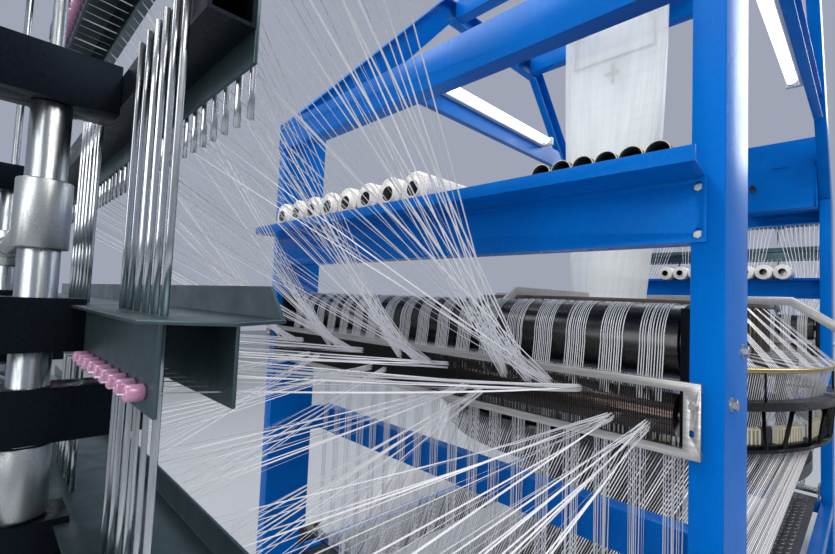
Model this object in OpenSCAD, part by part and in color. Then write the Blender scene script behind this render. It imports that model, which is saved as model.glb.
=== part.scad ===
// Circular power loom: portal frame, warp feed, round weaving unit, take-up tower and warp guide stands
// Millimetres, +Z up, origin on the floor under the centre of the weaving ring

/* [Portal frame] */
// Outside width of the frame over its posts
frame_w = 1376; // [1200:1:1700]
// Distance from the centre of the loom to the front face of a portal
portal_y = 1267; // [1150:1:1500]
// Height of the portal posts
portal_h = 1854; // [1800:1:2100]
// Width of a post, seen from the front
post_w = 45; // [40:1:60]
// Depth of a post, front to back
post_d = 165; // [150:1:200]
// Wall of the folded posts, beams and rails
wall = 4; // [3:0.5:6]
// Height of the folded cross beams
beam_h = 100; // [80:1:130]
// Depth of the folded cross beams
beam_d = 45; // [35:1:60]
// Height of the foot beam's top edge above the floor
foot_beam_z = 824; // [700:1:900]
// Height of the side rails' top face above the floor
rail_z = 300; // [240:1:400]
// Height of a side rail
rail_h = 60; // [50:1:80]

/* [Bobbin shelf] */
// Height of the shelf's floor
shelf_z = 1436; // [1380:1:1500]
// Depth of the shelf in front of its beam
shelf_d = 85; // [70:1:110]
// Height of the shelf's front lip
lip_h = 23; // [15:1:30]
// Diameter of a full weft bobbin
bobbin_dia = 83; // [60:1:84]
// Length of a weft bobbin
bobbin_len = 190; // [120:1:240]
// Diameter of an empty bobbin tube
tube_dia = 36; // [30:1:36]
// Spacing of the full bobbins along the shelf
bobbin_pitch = 85.2; // [85:0.1:90]
// Full bobbins on one shelf
bobbin_count = 8; // [4:1:8]
// Empty tubes on one shelf
tube_count = 6; // [2:1:6]

/* [Tower] */
// Height of the tower's top beams
tower_h = 2759; // [2600:1:2900]
// Half length of the level top of a side frame
tower_top_y = 444; // [380:1:520]
// Height of the lamp beams' lower edge
lamp_beam_z = 2170; // [2100:1:2250]
// Diameter of a lamp tube
lamp_dia = 38; // [26:1:50]
// Length of a lamp tube
lamp_len = 960; // [600:1:1200]

/* [Warp feed] */
// Diameter of the rubber feed roller
feed_dia = 130; // [110:1:140]
// Height of the feed roller's axis
feed_z = 1179; // [1150:1:1220]
// Distance of the feed roller's axis behind the portal's front face
feed_back = 117; // [112:1:122]
// Diameter of the steel press roller
press_dia = 70; // [60:1:76]
// Height of the press roller's axis
press_z = 1062; // [1040:1:1066]
// Distance of the press roller's axis behind the portal's front face
press_back = 67; // [60:1:70]
// Shaft diameter of the feed roller
feed_shaft = 30; // [20:1:40]
// Shaft diameter of the press roller
press_shaft = 20; // [14:1:30]
// Tape bundles on one roller
bundle_count = 18; // [8:1:18]
// Width of one tape bundle
bundle_w = 39; // [30:1:44]
// Height of the comb's lower edge
comb_z = 1016; // [980:1:1040]
// Height of the comb
comb_h = 111; // [90:1:130]
// Height of a comb bar
comb_bar = 13.5; // [10:0.5:18]
// Wires in one comb
comb_wires = 90; // [40:1:100]

/* [Weaving unit] */
// Radius of the polished tape ring
ring_r = 750; // [700:1:770]
// Height of the polished tape ring
ring_z = 1074; // [1040:1:1090]
// Thickness of the polished tape ring's tube
ring_tube = 14; // [10:1:20]
// Height of the basket's top ring
basket_top_z = 988; // [960:1:1010]
// Height of the basket's lower rim
basket_low_z = 840; // [820:1:880]
// Radius of the reed cylinder
reed_r = 575; // [540:1:600]
// Height of the reed cylinder's lower ring
reed_z = 1090; // [1085:1:1110]
// Height of the reed cylinder
reed_h = 180; // [150:1:220]
// Reed bars round the cylinder
reed_bars = 120; // [60:1:120]
// Radius of the weaving ring that the cloth leaves
weave_r = 151; // [120:1:200]
// Height of the weaving ring
weave_z = 1180; // [1160:1:1200]
// Shuttles in the race
shuttle_count = 6; // [4:2:6]
// Diameter of the main shaft
main_shaft = 60; // [50:1:80]

/* [Take-up] */
// Flat width of the woven tube
cloth_w = 475; // [380:1:520]
// Height of the nip rollers' axes above the tower
nip_rise = 91; // [85:1:140]
// Diameter of a nip roller
nip_dia = 90; // [70:1:100]
// Diameter of the wound cloth
roll_dia = 210; // [120:1:260]

/* [Guide stand] */
// Distance from the portal's front face to the stand's pipes
stand_gap = 724; // [600:1:900]
// Outer diameter of the stand's pipes
pipe_dia = 34; // [30:1:42]
// Height of the stand's pipes
pipe_h = 1412; // [1400:1:1500]
// Length of the guide rails
rail_len = 1180; // [1180:1:1300]
// Section of the square arms
arm_tube = 52; // [42:1:52]
// Section of the square guide rails
square_tube = 34; // [30:1:40]
// Tapes in one group
tapes_per_group = 6; // [4:1:6]
// Tape width
tape_w = 2.6; // [2:0.1:4]

/* [Hidden] */
$fn = 48;
clear = 0.3;
fit = 0.05;
tape_t = 0.4;
half_w = frame_w / 2;
inner_x = half_w - post_w;

// Warp feed places, measured in from the portal's front face
feed_y = portal_y - feed_back;
press_y = portal_y - press_back;
bearing_t = 18;
plate_gap = 12;
roller_half = inner_x - bearing_t - plate_gap;
wrap_t = 1.2;
bundle_pitch = (2 * roller_half - bundle_w - 40) / (bundle_count - 1);
bundle_y = feed_y - feed_dia / 2 - clear - wrap_t;
floor_bar_z = rail_z + 60;
floor_bar_dia = 32;
floor_bar_y = bundle_y - floor_bar_dia / 2 - clear;
foot_front = bundle_y - 14;
foot_beam_h = 85;

// Comb places
comb_t = 10;
comb_left = half_w + 2;
comb_right = inner_x + 18;
comb_plate_w = 23;
wire_t = 1.6;
comb_up_z = comb_z + comb_h - comb_bar - 22;
comb_low_z = comb_z + comb_bar + 24;

// Shelf places
shelf_y = portal_y + wall;
shelf_left = inner_x + 12;
shelf_right = inner_x + 27;

// Tower places
frame_band = 100;
lamp_beam_h = 110;
cross_x = inner_x - clear;
cross_h = 90;
cross_d = 60;
cross_y = tower_top_y - 90;

// Guide stand places
stand_y = portal_y + stand_gap;
arm_out = 38;
arm_back = 70;
low_arm_out = 101;
low_arm_z = 1105;
rod_dia = 12;
level_z = [pipe_h + 470, pipe_h + 245, pipe_h + arm_tube / 2 + clear, 1192, 980, 760];
level_count = len(level_z);
rail_levels = [0, 2];
eye_levels = [1, 3, 4, 5];
group_count = 4;
eye_pitch = 48.8;
flange_t = 3;
flange_y = stand_y - arm_out - clear - flange_t;
guide_y = flange_y - 12 - square_tube / 2;
pipe_x = [-370, 254];
tee_z = [1300, 1042, 200];
clamp_wall = 6;
clamp_h = 68;
clamp_arm = 56;
rail_mid = -65;
channel_d = 100;
flange_h = 62;
overhang = 13;
back_lip = 28;
back_cut = 24;
point_out = 30;
comb_strip_h = 60;
channel_t = 3;
eye_w = 11;
eye_d = 12;
drop_w = 5;
drop_t = 1.5;
drop_count = 6;
foot_size = 150;
foot_t = 8;

// Weaving unit places
bed_drum_r = 300;
bed_top_r = 690;
bed_top_z = 760;
bed_plate_t = 40;
column_r = 625;
column_dia = 34;
column_count = 8;
column_start = 21;
race_in_r = reed_r - 24;
reed_ring_h = 12;
race_out_r = column_r + 30;
race_t = 24;
race_top_z = reed_z - clear;
basket_band_h = 24;
basket_in_r = ring_r - 24;
basket_out_r = ring_r + 16;
basket_rim = 10;
basket_low_r = ring_r - 15;
strut_count = 24;
comb_block_r = basket_in_r - 10;
comb_block_h = 48;
comb_block_d = 16;
bridge_t = 10;
bridge_band = 28;
bridge_out_r = ring_r + 50;
bridge_z = reed_z + reed_h;
rotor_z = 930;
rotor_t = 25;
rotor_r = 300;
push_r = 505;
shuttle_r = 470;
shuttle_z = 1172;
shuttle_len = 330;
shuttle_h = 44;
shuttle_d = 96;
shaft_fit = main_shaft / 2 + fit;
rise_count = 48;
shed_count = 60;

// Take-up places
plate_x = cloth_w / 2 + 60;
plate_t = 12;
nip_gap = 2;
cloth_t = 1;
weave_wall = 8;
spreader_t = 11.6;
nip_z = tower_h + nip_rise;
spreader_z = nip_z - 285;
nip_y = nip_dia / 2 + nip_gap;
nip_shaft = 24;
nip_half = plate_x - plate_t / 2 - 6;
roll_y = roll_dia / 2 + nip_gap;
roll_z = nip_z + nip_dia / 2 + 20 + roll_dia / 2;
roll_core = 50;
roll_shaft = 24;

// Electrical box places
box_w = 310;
box_h = 375;
box_d = 160;
box_z = portal_h - 43;
box_x = inner_x - 3 - box_w;
box_y = portal_y + wall - beam_d - box_d;
door_t = 3;
door_h = 255;
hinge_dia = 8;
handle_dia = 10;

// Walkway places
tread_t = 5;
tread_gap = 17;
tread_w = 172;
tread_y = portal_y - post_d + 45;

// Draws its children and the same turned half round, for what both portals have
module both_portals() {
    children();
    rotate([0, 0, 180]) children();
}

// Draws its children on both ends of the X axis
module both_ends() {
    children();
    mirror([1, 0, 0]) children();
}

// Flat strip from point p to point q, w wide and t thick
module strip(p, q, w, t) {
    v = q - p;
    length = norm(v);
    flat = norm([v[0], v[1]]);
    translate(p) rotate([0, -atan2(v[2], flat), atan2(v[1], v[0])])
        translate([0, -w / 2, -t / 2]) cube([length, w, t]);
}

// Round bar along X, centred on the origin
module bar_x(length, dia) {
    rotate([0, 90, 0]) cylinder(h = length, d = dia, center = true);
}

// Folded square or oblong tube standing on the XY plane
module hollow_box(size, t) {
    difference() {
        cube(size);
        translate([t, t, -1]) cube([size[0] - 2 * t, size[1] - 2 * t, size[2] + 2]);
    }
}

// Channel along X that opens towards +Y, its back on the plane y = 0
module channel_x(length, h, d, t) {
    cube([length, t, h]);
    cube([length, d, t]);
    translate([0, 0, h - t]) cube([length, d, t]);
    translate([0, d - t, h - 3 * t]) cube([length, t, 2 * t]);
}

module post(side) {
    x = side > 0 ? inner_x : -half_w;
    color("royalblue") translate([x, -portal_y, 0]) {
        hollow_box([post_w, post_d, portal_h], wall);
        translate([-10, -8, 0]) cube([post_w + 20, post_d + 16, wall]);
    }
}

module near_left_post() { post(-1); }
module near_right_post() { post(1); }
module far_left_post() { rotate([0, 0, 180]) post(1); }
module far_right_post() { rotate([0, 0, 180]) post(-1); }

module top_beam() {
    color("royalblue") translate([-half_w, -portal_y - wall, portal_h - beam_h])
        difference() {
            union() {
                channel_x(half_w + inner_x, beam_h, wall, wall);
                translate([post_w + clear, 0, 0]) channel_x(2 * inner_x - 2 * clear, beam_h, beam_d, wall);
            }
            for (z = [25, beam_h - 25]) translate([post_w / 2, -1, z])
                rotate([-90, 0, 0]) cylinder(h = wall + 2, d = 9);
        }
}

module near_top_beam() { top_beam(); }
module far_top_beam() { rotate([0, 0, 180]) top_beam(); }

// Folded sheet: front lip, bobbin floor and the beam face under it
module bobbin_shelf() {
    color("royalblue") difference() {
        union() {
            translate([-shelf_left, -shelf_y - shelf_d, shelf_z])
                linear_extrude(wall) polygon([
                    [0, 0], [shelf_left + shelf_right, 0],
                    [shelf_left + shelf_right - 8, shelf_d], [0, shelf_d]]);
            translate([-shelf_left, -shelf_y - shelf_d, shelf_z])
                cube([shelf_left + shelf_right, wall, lip_h]);
            translate([-shelf_left, -shelf_y, shelf_z - beam_h])
                cube([shelf_left + inner_x + 22, wall, beam_h + wall]);
            translate([-inner_x + clear, -shelf_y, shelf_z - beam_h])
                cube([2 * inner_x - 2 * clear, beam_d, wall]);
            translate([-inner_x + clear, -shelf_y, shelf_z])
                cube([2 * inner_x - 2 * clear, beam_d + wall, wall]);
        }
        both_ends() for (z = [17, beam_h - 12]) translate([inner_x + 11, -shelf_y - 1, shelf_z - beam_h + z])
            rotate([-90, 0, 0]) cylinder(h = wall + 2, d = 9);
    }
}

module near_bobbin_shelf() { bobbin_shelf(); }
module far_bobbin_shelf() { rotate([0, 0, 180]) bobbin_shelf(); }

module foot_beams() {
    color("royalblue") both_portals() {
        translate([-inner_x, -foot_front, foot_beam_z - foot_beam_h])
            channel_x(2 * inner_x, foot_beam_h, beam_d, wall);
        both_ends() translate([inner_x - 2 * wall, -portal_y + post_d - 50, foot_beam_z - foot_beam_h])
            cube([2 * wall, portal_y - post_d + 50 - foot_front + beam_d, foot_beam_h]);
    }
}

module side_rails() {
    color("royalblue") both_ends() translate([inner_x, -portal_y + post_d, rail_z - rail_h])
        rotate([-90, 0, 0]) translate([0, -rail_h, 0])
            hollow_box([post_w, rail_h, 2 * (portal_y - post_d)], wall);
}

module cross_rails() {
    color("royalblue") both_portals()
        translate([-inner_x, -portal_y + post_d - 50, rail_z - rail_h]) rotate([90, 0, 90])
            hollow_box([50, rail_h, 2 * inner_x], wall);
}

module walkway_treads() {
    color("dimgray") both_ends() translate([inner_x - tread_gap - tread_w, -tread_y, rail_z]) {
        cube([tread_w, 2 * tread_y, tread_t]);
        translate([0, post_w + 5, -25]) cube([tread_t, 2 * (tread_y - post_w - 5), 25 + tread_t]);
        for (i = [0:40]) translate([18, 30 + i * (2 * tread_y - 60) / 40, tread_t])
            rotate([0, 0, 45 * (2 * (i % 2) - 1)]) translate([4, -2, 0]) cube([22, 4, 1.2]);
        for (i = [0:40]) translate([100, 30 + i * (2 * tread_y - 60) / 40, tread_t])
            rotate([0, 0, 45 * (1 - 2 * (i % 2))]) translate([4, -2, 0]) cube([22, 4, 1.2]);
    }
}

// Outline of a side frame's band, moved inwards by an amount
function frame_outline(inset) = [
    [-portal_y + 1.5 * inset, portal_h], [-tower_top_y + inset / 2, tower_h - inset],
    [tower_top_y - inset / 2, tower_h - inset], [portal_y - 1.5 * inset, portal_h]
];

module frame_band_2d(first, last) {
    polygon(concat(frame_outline(first), [for (i = [3:-1:0]) frame_outline(last)[i]]));
}

// Folded channel bent into two inclined legs and a level top, open towards the middle
module side_frame() {
    rotate([90, 0, 90]) translate([0, 0, inner_x]) {
        translate([0, 0, post_w - wall]) linear_extrude(wall) frame_band_2d(0, frame_band);
        linear_extrude(post_w) frame_band_2d(0, wall);
        linear_extrude(post_w) frame_band_2d(frame_band - wall, frame_band);
        for (s = [-1, 1]) linear_extrude(post_w)
            polygon([[s * portal_y, portal_h], [s * (portal_y - 1.5 * frame_band), portal_h],
                [s * (portal_y - 1.5 * frame_band - 2), portal_h + wall], [s * (portal_y - 2), portal_h + wall]]);
    }
}

module left_side_frame() { color("royalblue") mirror([1, 0, 0]) side_frame(); }
module right_side_frame() { color("royalblue") side_frame(); }

// Half length of the gap between the legs at height z
function leg_gap(z) = portal_y - 1.5 * frame_band
    - (z - portal_h) * (portal_y - 1.5 * frame_band - tower_top_y + frame_band / 2) / (tower_h - frame_band - portal_h);

module lamp_beam() {
    low = leg_gap(lamp_beam_z) - clear;
    high = leg_gap(lamp_beam_z + lamp_beam_h) - clear;
    rotate([90, 0, 90]) translate([0, lamp_beam_z, inner_x + wall]) {
        linear_extrude(wall) polygon([[-low, 0], [low, 0], [high, lamp_beam_h], [-high, lamp_beam_h]]);
        translate([-high, lamp_beam_h - wall, 0]) cube([2 * high, wall, post_w - 3 * wall]);
        translate([-high, 0, 0]) cube([2 * high, wall, post_w - 3 * wall]);
    }
}

module lamp_beams() { color("royalblue") both_ends() lamp_beam(); }

module tower_cross_beams() {
    color("royalblue") for (s = [-1, 1]) translate([-cross_x, s * cross_y - cross_d / 2, tower_h - cross_h])
        rotate([90, 0, 90]) hollow_box([cross_d, cross_h, 2 * cross_x], wall);
}

module lamp_tubes() {
    color("white") both_ends()
        translate([inner_x - lamp_dia / 2 - 30, 0, lamp_beam_z + lamp_beam_h - lamp_dia / 2 + 12]) {
            rotate([90, 0, 0]) cylinder(h = lamp_len, d = lamp_dia, center = true);
            for (s = [-1, 1], z = [-6, 6]) translate([z, s * (lamp_len / 2 + 4), 0])
                rotate([90, 0, 0]) cylinder(h = 8, d = 2.4, center = true);
        }
}

// Channel behind each tube with a socket at both ends
module lamp_holders() {
    color("white") both_ends() translate([inner_x, 0, lamp_beam_z + lamp_beam_h - lamp_dia / 2 + 12]) {
        translate([-22, -lamp_len / 2 - 26, -lamp_dia / 2 - 4]) cube([22 + wall, lamp_len + 52, lamp_dia + 4]);
        for (s = [-1, 1]) difference() {
            translate([-lamp_dia - 34, s * (lamp_len / 2 + 14) - 12, -lamp_dia / 2 - 4])
                cube([lamp_dia + 34, 24, lamp_dia + 8]);
            translate([-lamp_dia / 2 - 30, s * (lamp_len / 2 + 2.5), 0]) rotate([90, 0, 0])
                cylinder(h = 12, d = 17, center = true);
        }
    }
}

module electrical_box() {
    color("mediumblue") difference() {
        union() {
            translate([box_x, box_y, box_z]) difference() {
                cube([box_w, box_d, box_h]);
                translate([wall, -1, wall]) cube([box_w - 2 * wall, box_d - wall + 1, door_h - wall - 6]);
            }
            translate([box_x + box_w - 8, box_y - 14, box_z + 2]) cube([8, 15, 28]);
            translate([box_x + box_w - 8, box_y - 14, box_z + door_h - 32]) cube([8, 15, 30]);
        }
        translate([box_x + box_w - 4, box_y - 7, box_z])
            cylinder(h = door_h, d = hinge_dia / 2 + 2 * fit);
    }
}

module box_door() {
    color("mediumblue") difference() {
        union() {
            translate([box_x + 1, box_y - 1 - door_t, box_z + 2]) cube([box_w - 12, door_t, door_h - 8]);
            translate([box_x + box_w - 12, box_y - 7 - 3, box_z + 32]) cube([6, 9, door_h - 68]);
            translate([box_x + box_w - 4, box_y - 7, box_z + 30 + clear])
                cylinder(h = door_h - 62 - 2 * clear, d = hinge_dia);
            translate([box_x + box_w - 4, box_y - 7, box_z + 4]) cylinder(h = door_h - 12, d = hinge_dia / 2);
            translate([box_x + 120, box_y - 1 - door_t - 12, box_z + door_h - 24]) cube([70, 12, 8]);
        }
        translate([box_x + 34, box_y + 5, box_z + 130]) rotate([90, 0, 0])
            cylinder(h = 30, d = handle_dia + 2 * fit);
    }
}

// Quarter-turn latch: spindle through the door, knob outside and cam inside
module door_handle() {
    color("black") translate([box_x + 34, box_y - 1, box_z + 130]) rotate([90, 0, 0]) {
        cylinder(h = door_t + 20, d = handle_dia);
        translate([0, 0, door_t + 1]) cylinder(h = 10, d = 28);
        translate([-6, -22, door_t + 6]) cube([12, 44, 14]);
        translate([-9, -9, -4]) cube([18, 18, 4]);
        translate([-25, -9, -7]) cube([34, 18, 3]);
    }
}

module comb() {
    length = comb_left + comb_right;
    color("lightgray") translate([-comb_left, -portal_y - comb_t, comb_z]) {
        cube([length, comb_t, comb_bar]);
        translate([0, 0, comb_h - comb_bar]) cube([length, comb_t, comb_bar]);
        for (x = [0, length - comb_plate_w]) translate([x, 0, comb_bar]) difference() {
            cube([comb_plate_w, comb_t - 4, comb_h - 2 * comb_bar]);
            translate([comb_plate_w / 2, -1, 0.73 * comb_h - comb_bar]) rotate([-90, 0, 0])
                cylinder(h = comb_t, d = 6.6);
            for (z = [-2, 2]) translate([comb_plate_w / 2, -1, 0.34 * comb_h - comb_bar + z])
                rotate([-90, 0, 0]) cylinder(h = comb_t, d = 6.6);
        }
    }
}

module near_warp_comb() { comb(); }
module far_warp_comb() { rotate([0, 0, 180]) comb(); }

// Left edge of comb wire i
function wire_x(i) = -inner_x + 8 + i * (2 * inner_x - 30) / comb_wires;

module comb_wires() {
    color("dimgray") both_portals() for (i = [0:comb_wires])
        translate([wire_x(i), -portal_y - comb_t / 2 - wire_t / 2, comb_z + comb_bar])
            cube([wire_t, wire_t, comb_h - 2 * comb_bar]);
}

module bearing_plates() {
    color("silver") both_portals() both_ends() difference() {
        translate([inner_x - bearing_t, -press_y - 45, press_z - 42])
            cube([bearing_t, press_y - feed_y + 90, feed_z - press_z + 100]);
        translate([inner_x, -feed_y, feed_z]) bar_x(3 * bearing_t, feed_shaft + 2 * fit);
        translate([inner_x, -press_y, press_z]) bar_x(3 * bearing_t, press_shaft + 2 * fit);
    }
}

module feed_roller() {
    color("black") translate([0, -feed_y, feed_z]) {
        bar_x(2 * roller_half, feed_dia);
        bar_x(2 * roller_half + 8, feed_dia - 20);
        bar_x(2 * inner_x - 2, feed_shaft);
    }
}

module press_roller() {
    color("saddlebrown") translate([0, -press_y, press_z]) {
        bar_x(2 * roller_half, press_dia);
        bar_x(2 * inner_x - 2, press_shaft);
    }
}

module near_feed_roller() { feed_roller(); }
module far_feed_roller() { rotate([0, 0, 180]) feed_roller(); }
module near_press_roller() { press_roller(); }
module far_press_roller() { rotate([0, 0, 180]) press_roller(); }

// Wrap over the feed roller and the straight fall to the floor bar
module tape_bundle() {
    color("whitesmoke") {
        translate([0, -feed_y, feed_z]) difference() {
            bar_x(bundle_w, feed_dia + 2 * (clear + wrap_t));
            bar_x(bundle_w + 2, feed_dia + 2 * clear);
            translate([-bundle_w, 0, -feed_dia]) cube([2 * bundle_w, feed_dia, feed_dia]);
            translate([-bundle_w, -feed_dia, -feed_dia - 40]) cube([2 * bundle_w, 2 * feed_dia, feed_dia]);
        }
        translate([-bundle_w / 2, -bundle_y - wrap_t, floor_bar_z])
            cube([bundle_w, wrap_t, feed_z - floor_bar_z]);
    }
}

module tape_bundles() {
    both_portals() for (i = [0:bundle_count - 1])
        translate([(i - (bundle_count - 1) / 2) * bundle_pitch, 0, 0]) tape_bundle();
}

module floor_bars() {
    color("silver") both_portals() {
        translate([0, -floor_bar_y, floor_bar_z]) bar_x(2 * inner_x - 10, floor_bar_dia);
        both_ends() translate([inner_x - 8, -floor_bar_y - 62, floor_bar_z - 28])
            cube([8, 90, 56]);
    }
}

// Where tape number t of group g on a level leaves its eyelet, and where the group enters the comb
function eyelet_x(g, t) = rail_mid + rail_len / 2 - 20
    - ((group_count - g) * tapes_per_group - 1 - t) * eye_pitch;
function off_arms(x) = min([for (p = pipe_x) abs(x - p)]) > arm_tube / 2 + eye_w;
function eyelet_at(level, g, t) = [eyelet_x(g, t), -(guide_y - square_tube / 2 - channel_t),
    level_z[level] - square_tube / 2 - 1.5 * eye_w];
function group_gap(level, g) = floor(2 + (g * level_count + level) * (comb_wires - 5) / (group_count * level_count - 1));
function comb_point(level, g, t) = let (k = group_gap(level, g)) [
    (wire_x(k) + wire_x(k + 1) + wire_t) / 2 + (t - (tapes_per_group - 1) / 2) * 1.6,
    -(portal_y + comb_t / 2 + clear),
    (level_z[level] > comb_z + comb_h ? comb_up_z : comb_low_z) + (t - (tapes_per_group - 1) / 2) * 2 * tape_t];

// Middle of the bundle that lies nearest to x
function near_bundle(x) = let (half = (bundle_count - 1) / 2)
    (max(0, min(bundle_count - 1, round(x / bundle_pitch + half))) - half) * bundle_pitch;

module warp_tapes() {
    wrap_r = feed_dia / 2 + clear + wrap_t + clear + tape_w / 4;
    color("whitesmoke") both_portals() for (level = [0:level_count - 1], g = [0:group_count - 1]) {
        for (t = [0:tapes_per_group - 1])
            strip(eyelet_at(level, g, t), comb_point(level, g, t), tape_w, tape_t);
        tip = (comb_point(level, g, 0) + comb_point(level, g, tapes_per_group - 1)) / 2 + [0, 2 * tape_t, 0];
        strip(tip, [near_bundle(tip[0]), -feed_y - wrap_r, feed_z], 2 * tape_w, tape_t);
    }
}

module weft_bobbins() {
    color("ivory") both_portals() for (i = [0:bobbin_count - 1])
        translate([-483 + i * bobbin_pitch, -shelf_y - shelf_d + wall + 1, shelf_z + wall + bobbin_dia / 2])
            rotate([-90, 0, 0]) difference() {
                union() {
                    translate([0, 0, 4]) cylinder(h = bobbin_len - 8, d = bobbin_dia);
                    cylinder(h = bobbin_len, d = tube_dia + 6);
                }
                translate([0, 0, -1]) cylinder(h = bobbin_len + 2, d = tube_dia);
            }
}

module empty_tubes() {
    color("black") both_portals() for (i = [0:tube_count - 1])
        translate([inner_x - 22 - i * (tube_dia + 1.5), -shelf_y - shelf_d + wall + 1, shelf_z + wall + tube_dia / 2])
            rotate([-90, 0, 0]) difference() {
                cylinder(h = bobbin_len, d = tube_dia);
                translate([0, 0, -1]) cylinder(h = bobbin_len + 2, d = tube_dia - 4);
            }
}

// Pipe with a foot plate, and the rod on its top that carries the upper arms
module stand_pipes() {
    color("silver") both_portals() {
        for (x = pipe_x) translate([x, -stand_y, 0]) {
            cylinder(h = pipe_h, d = pipe_dia);
            cylinder(h = level_z[0] + arm_tube, d = rod_dia);
            translate([-foot_size / 2, -foot_size / 2, 0]) cube([foot_size, foot_size, foot_t]);
        }
    }
}

// Cast tee clamps round the pipes and the level pipes between them
module pipe_clamps() {
    outer = pipe_dia + 2 * clamp_wall;
    span = pipe_x[1] - pipe_x[0];
    color("darkgray") both_portals() for (z = tee_z) {
        for (x = pipe_x) translate([x, -stand_y, z]) difference() {
            cylinder(h = clamp_h, d = outer, center = true);
            cylinder(h = clamp_h + 2, d = pipe_dia + 2 * fit, center = true);
        }
        translate([pipe_x[0] + pipe_dia / 2 + clamp_wall / 2, -stand_y, z])
            rotate([0, 90, 0]) cylinder(h = span - pipe_dia - clamp_wall, d = pipe_dia - 6);
        for (s = [0, 1]) translate([pipe_x[s] + (1 - 2 * s) * (pipe_dia / 2 + clamp_wall / 2), -stand_y, z])
            rotate([0, 90 * (1 - 2 * s), 0]) cylinder(h = clamp_arm, d = pipe_dia - 6 + 2 * clamp_wall);
    }
}

// Square tube across a pipe or rod of diameter d, from behind it out to a distance
module stand_arm(out, d) {
    translate([-arm_tube / 2, -arm_back, -arm_tube / 2]) difference() {
        cube([arm_tube, arm_back + out, arm_tube]);
        translate([wall, -1, wall]) cube([arm_tube - 2 * wall, arm_back + out + 2, arm_tube - 2 * wall]);
        translate([arm_tube / 2, arm_back, -1]) cylinder(h = arm_tube + 2, d = d + 2 * fit);
    }
}

module stand_arms() {
    color("black") both_portals() for (x = pipe_x) {
        for (k = eye_levels) translate([x, -stand_y, level_z[k]])
            stand_arm(arm_out, level_z[k] > pipe_h ? rod_dia : pipe_dia);
        for (k = rail_levels) translate([x, -stand_y, level_z[k]])
            stand_arm(stand_y - guide_y - square_tube / 2 - clear, rod_dia);
        translate([x, -stand_y, low_arm_z]) stand_arm(low_arm_out, pipe_dia);
    }
}

module guide_rails() {
    color("black") both_portals() for (k = rail_levels)
        translate([rail_mid - rail_len / 2, -guide_y - square_tube / 2, level_z[k] - square_tube / 2])
            rotate([90, 0, 90]) hollow_box([square_tube, square_tube, rail_len], wall - 1);
}

// Strip behind a rail or a folded sheet that the tapes leave from
module tape_strip() {
    translate([0, square_tube / 2 - guide_y, 1 - comb_strip_h]) cube([rail_len, channel_t, comb_strip_h]);
}

// Folded sheets that take the eyelets: a top plate with a pointed end, a front flange, a strip inside and a
// raised lip at the back; a guide rail has the strip alone
module eyelet_rails() {
    front = flange_y + flange_t + overhang;
    color("lightslategray") both_portals() {
        for (k = rail_levels) translate([rail_mid - rail_len / 2, 0, level_z[k] + square_tube / 2]) tape_strip();
        for (k = eye_levels) translate([rail_mid - rail_len / 2, 0, level_z[k] + square_tube / 2]) difference() {
            union() {
                translate([0, -front, 0]) linear_extrude(channel_t) polygon([[0, 0], [rail_len, 0],
                    [rail_len + point_out, channel_d / 2], [rail_len, channel_d], [0, channel_d]]);
                translate([0, -front + overhang, channel_t - flange_h]) cube([rail_len, flange_t, flange_h]);
                translate([0, -front + channel_d, 0]) rotate([90, 0, 0]) linear_extrude(channel_t)
                    polygon([[0, 0], [rail_len, 0], [rail_len - back_cut, back_lip], [0, back_lip]]);
                tape_strip();
            }
            for (x = pipe_x) translate([x - rail_mid + rail_len / 2 - arm_tube / 2 - 1, -front - 1, -1])
                cube([arm_tube + 2, overhang + 1, channel_t + 2]);
        }
    }
}

// Row of ceramic eyelets in front of the flange for each group of tapes
module eyelets() {
    color("pink") both_portals() for (k = eye_levels, g = [0:group_count - 1], t = [0:tapes_per_group - 1])
        if (off_arms(eyelet_x(g, t)))
            translate([eyelet_x(g, t) - eye_w / 2, -(flange_y + flange_t + eye_d),
                level_z[k] - square_tube / 2 - 1.5 * eye_w]) cube([eye_w, eye_d, eye_w]);
}

// Upright wires from each folded sheet to the rail or sheet above it
module drop_wires() {
    color("silver") both_portals()
        for (k = eye_levels, g = [0:group_count - 1], i = [0:drop_count - 1]) {
            x = eyelet_x(g, tapes_per_group - 1.25 - 0.5 * i);
            low = level_z[k] + square_tube / 2 + channel_t + clear;
            high = level_z[k - 1] + square_tube / 2 - clear;
            if (off_arms(x)) translate([x - drop_t / 2, -guide_y - square_tube / 2 - clear - drop_w, low])
                cube([drop_t, drop_w, high - low]);
        }
}

module ring_plate(r_in, r_out, t) {
    difference() {
        cylinder(h = t, r = r_out, $fn = 96);
        translate([0, 0, -1]) cylinder(h = t + 2, r = r_in, $fn = 96);
    }
}

module ring_of(count, start) {
    for (i = [0:count - 1]) rotate([0, 0, start + i * 360 / count]) children();
}

// Drum and top plate that carry the weaving unit
module machine_bed() {
    color("dimgray") difference() {
        union() {
            cylinder(h = bed_top_z, r = bed_drum_r);
            cylinder(h = 24, r = bed_drum_r + 90);
            translate([0, 0, bed_top_z - bed_plate_t]) cylinder(h = bed_plate_t, r = bed_top_r);
            ring_of(column_count, column_start) translate([bed_drum_r - 5, -6, bed_top_z - bed_plate_t - 140])
                rotate([90, 0, 0]) translate([0, 0, -12]) linear_extrude(12)
                    polygon([[0, 0], [0, 140], [300, 140], [300, 125]]);
            cylinder(h = bed_top_z + 60, r = main_shaft + 30);
        }
        translate([0, 0, bed_top_z - 80]) cylinder(h = 200, r = shaft_fit);
    }
}

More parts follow.
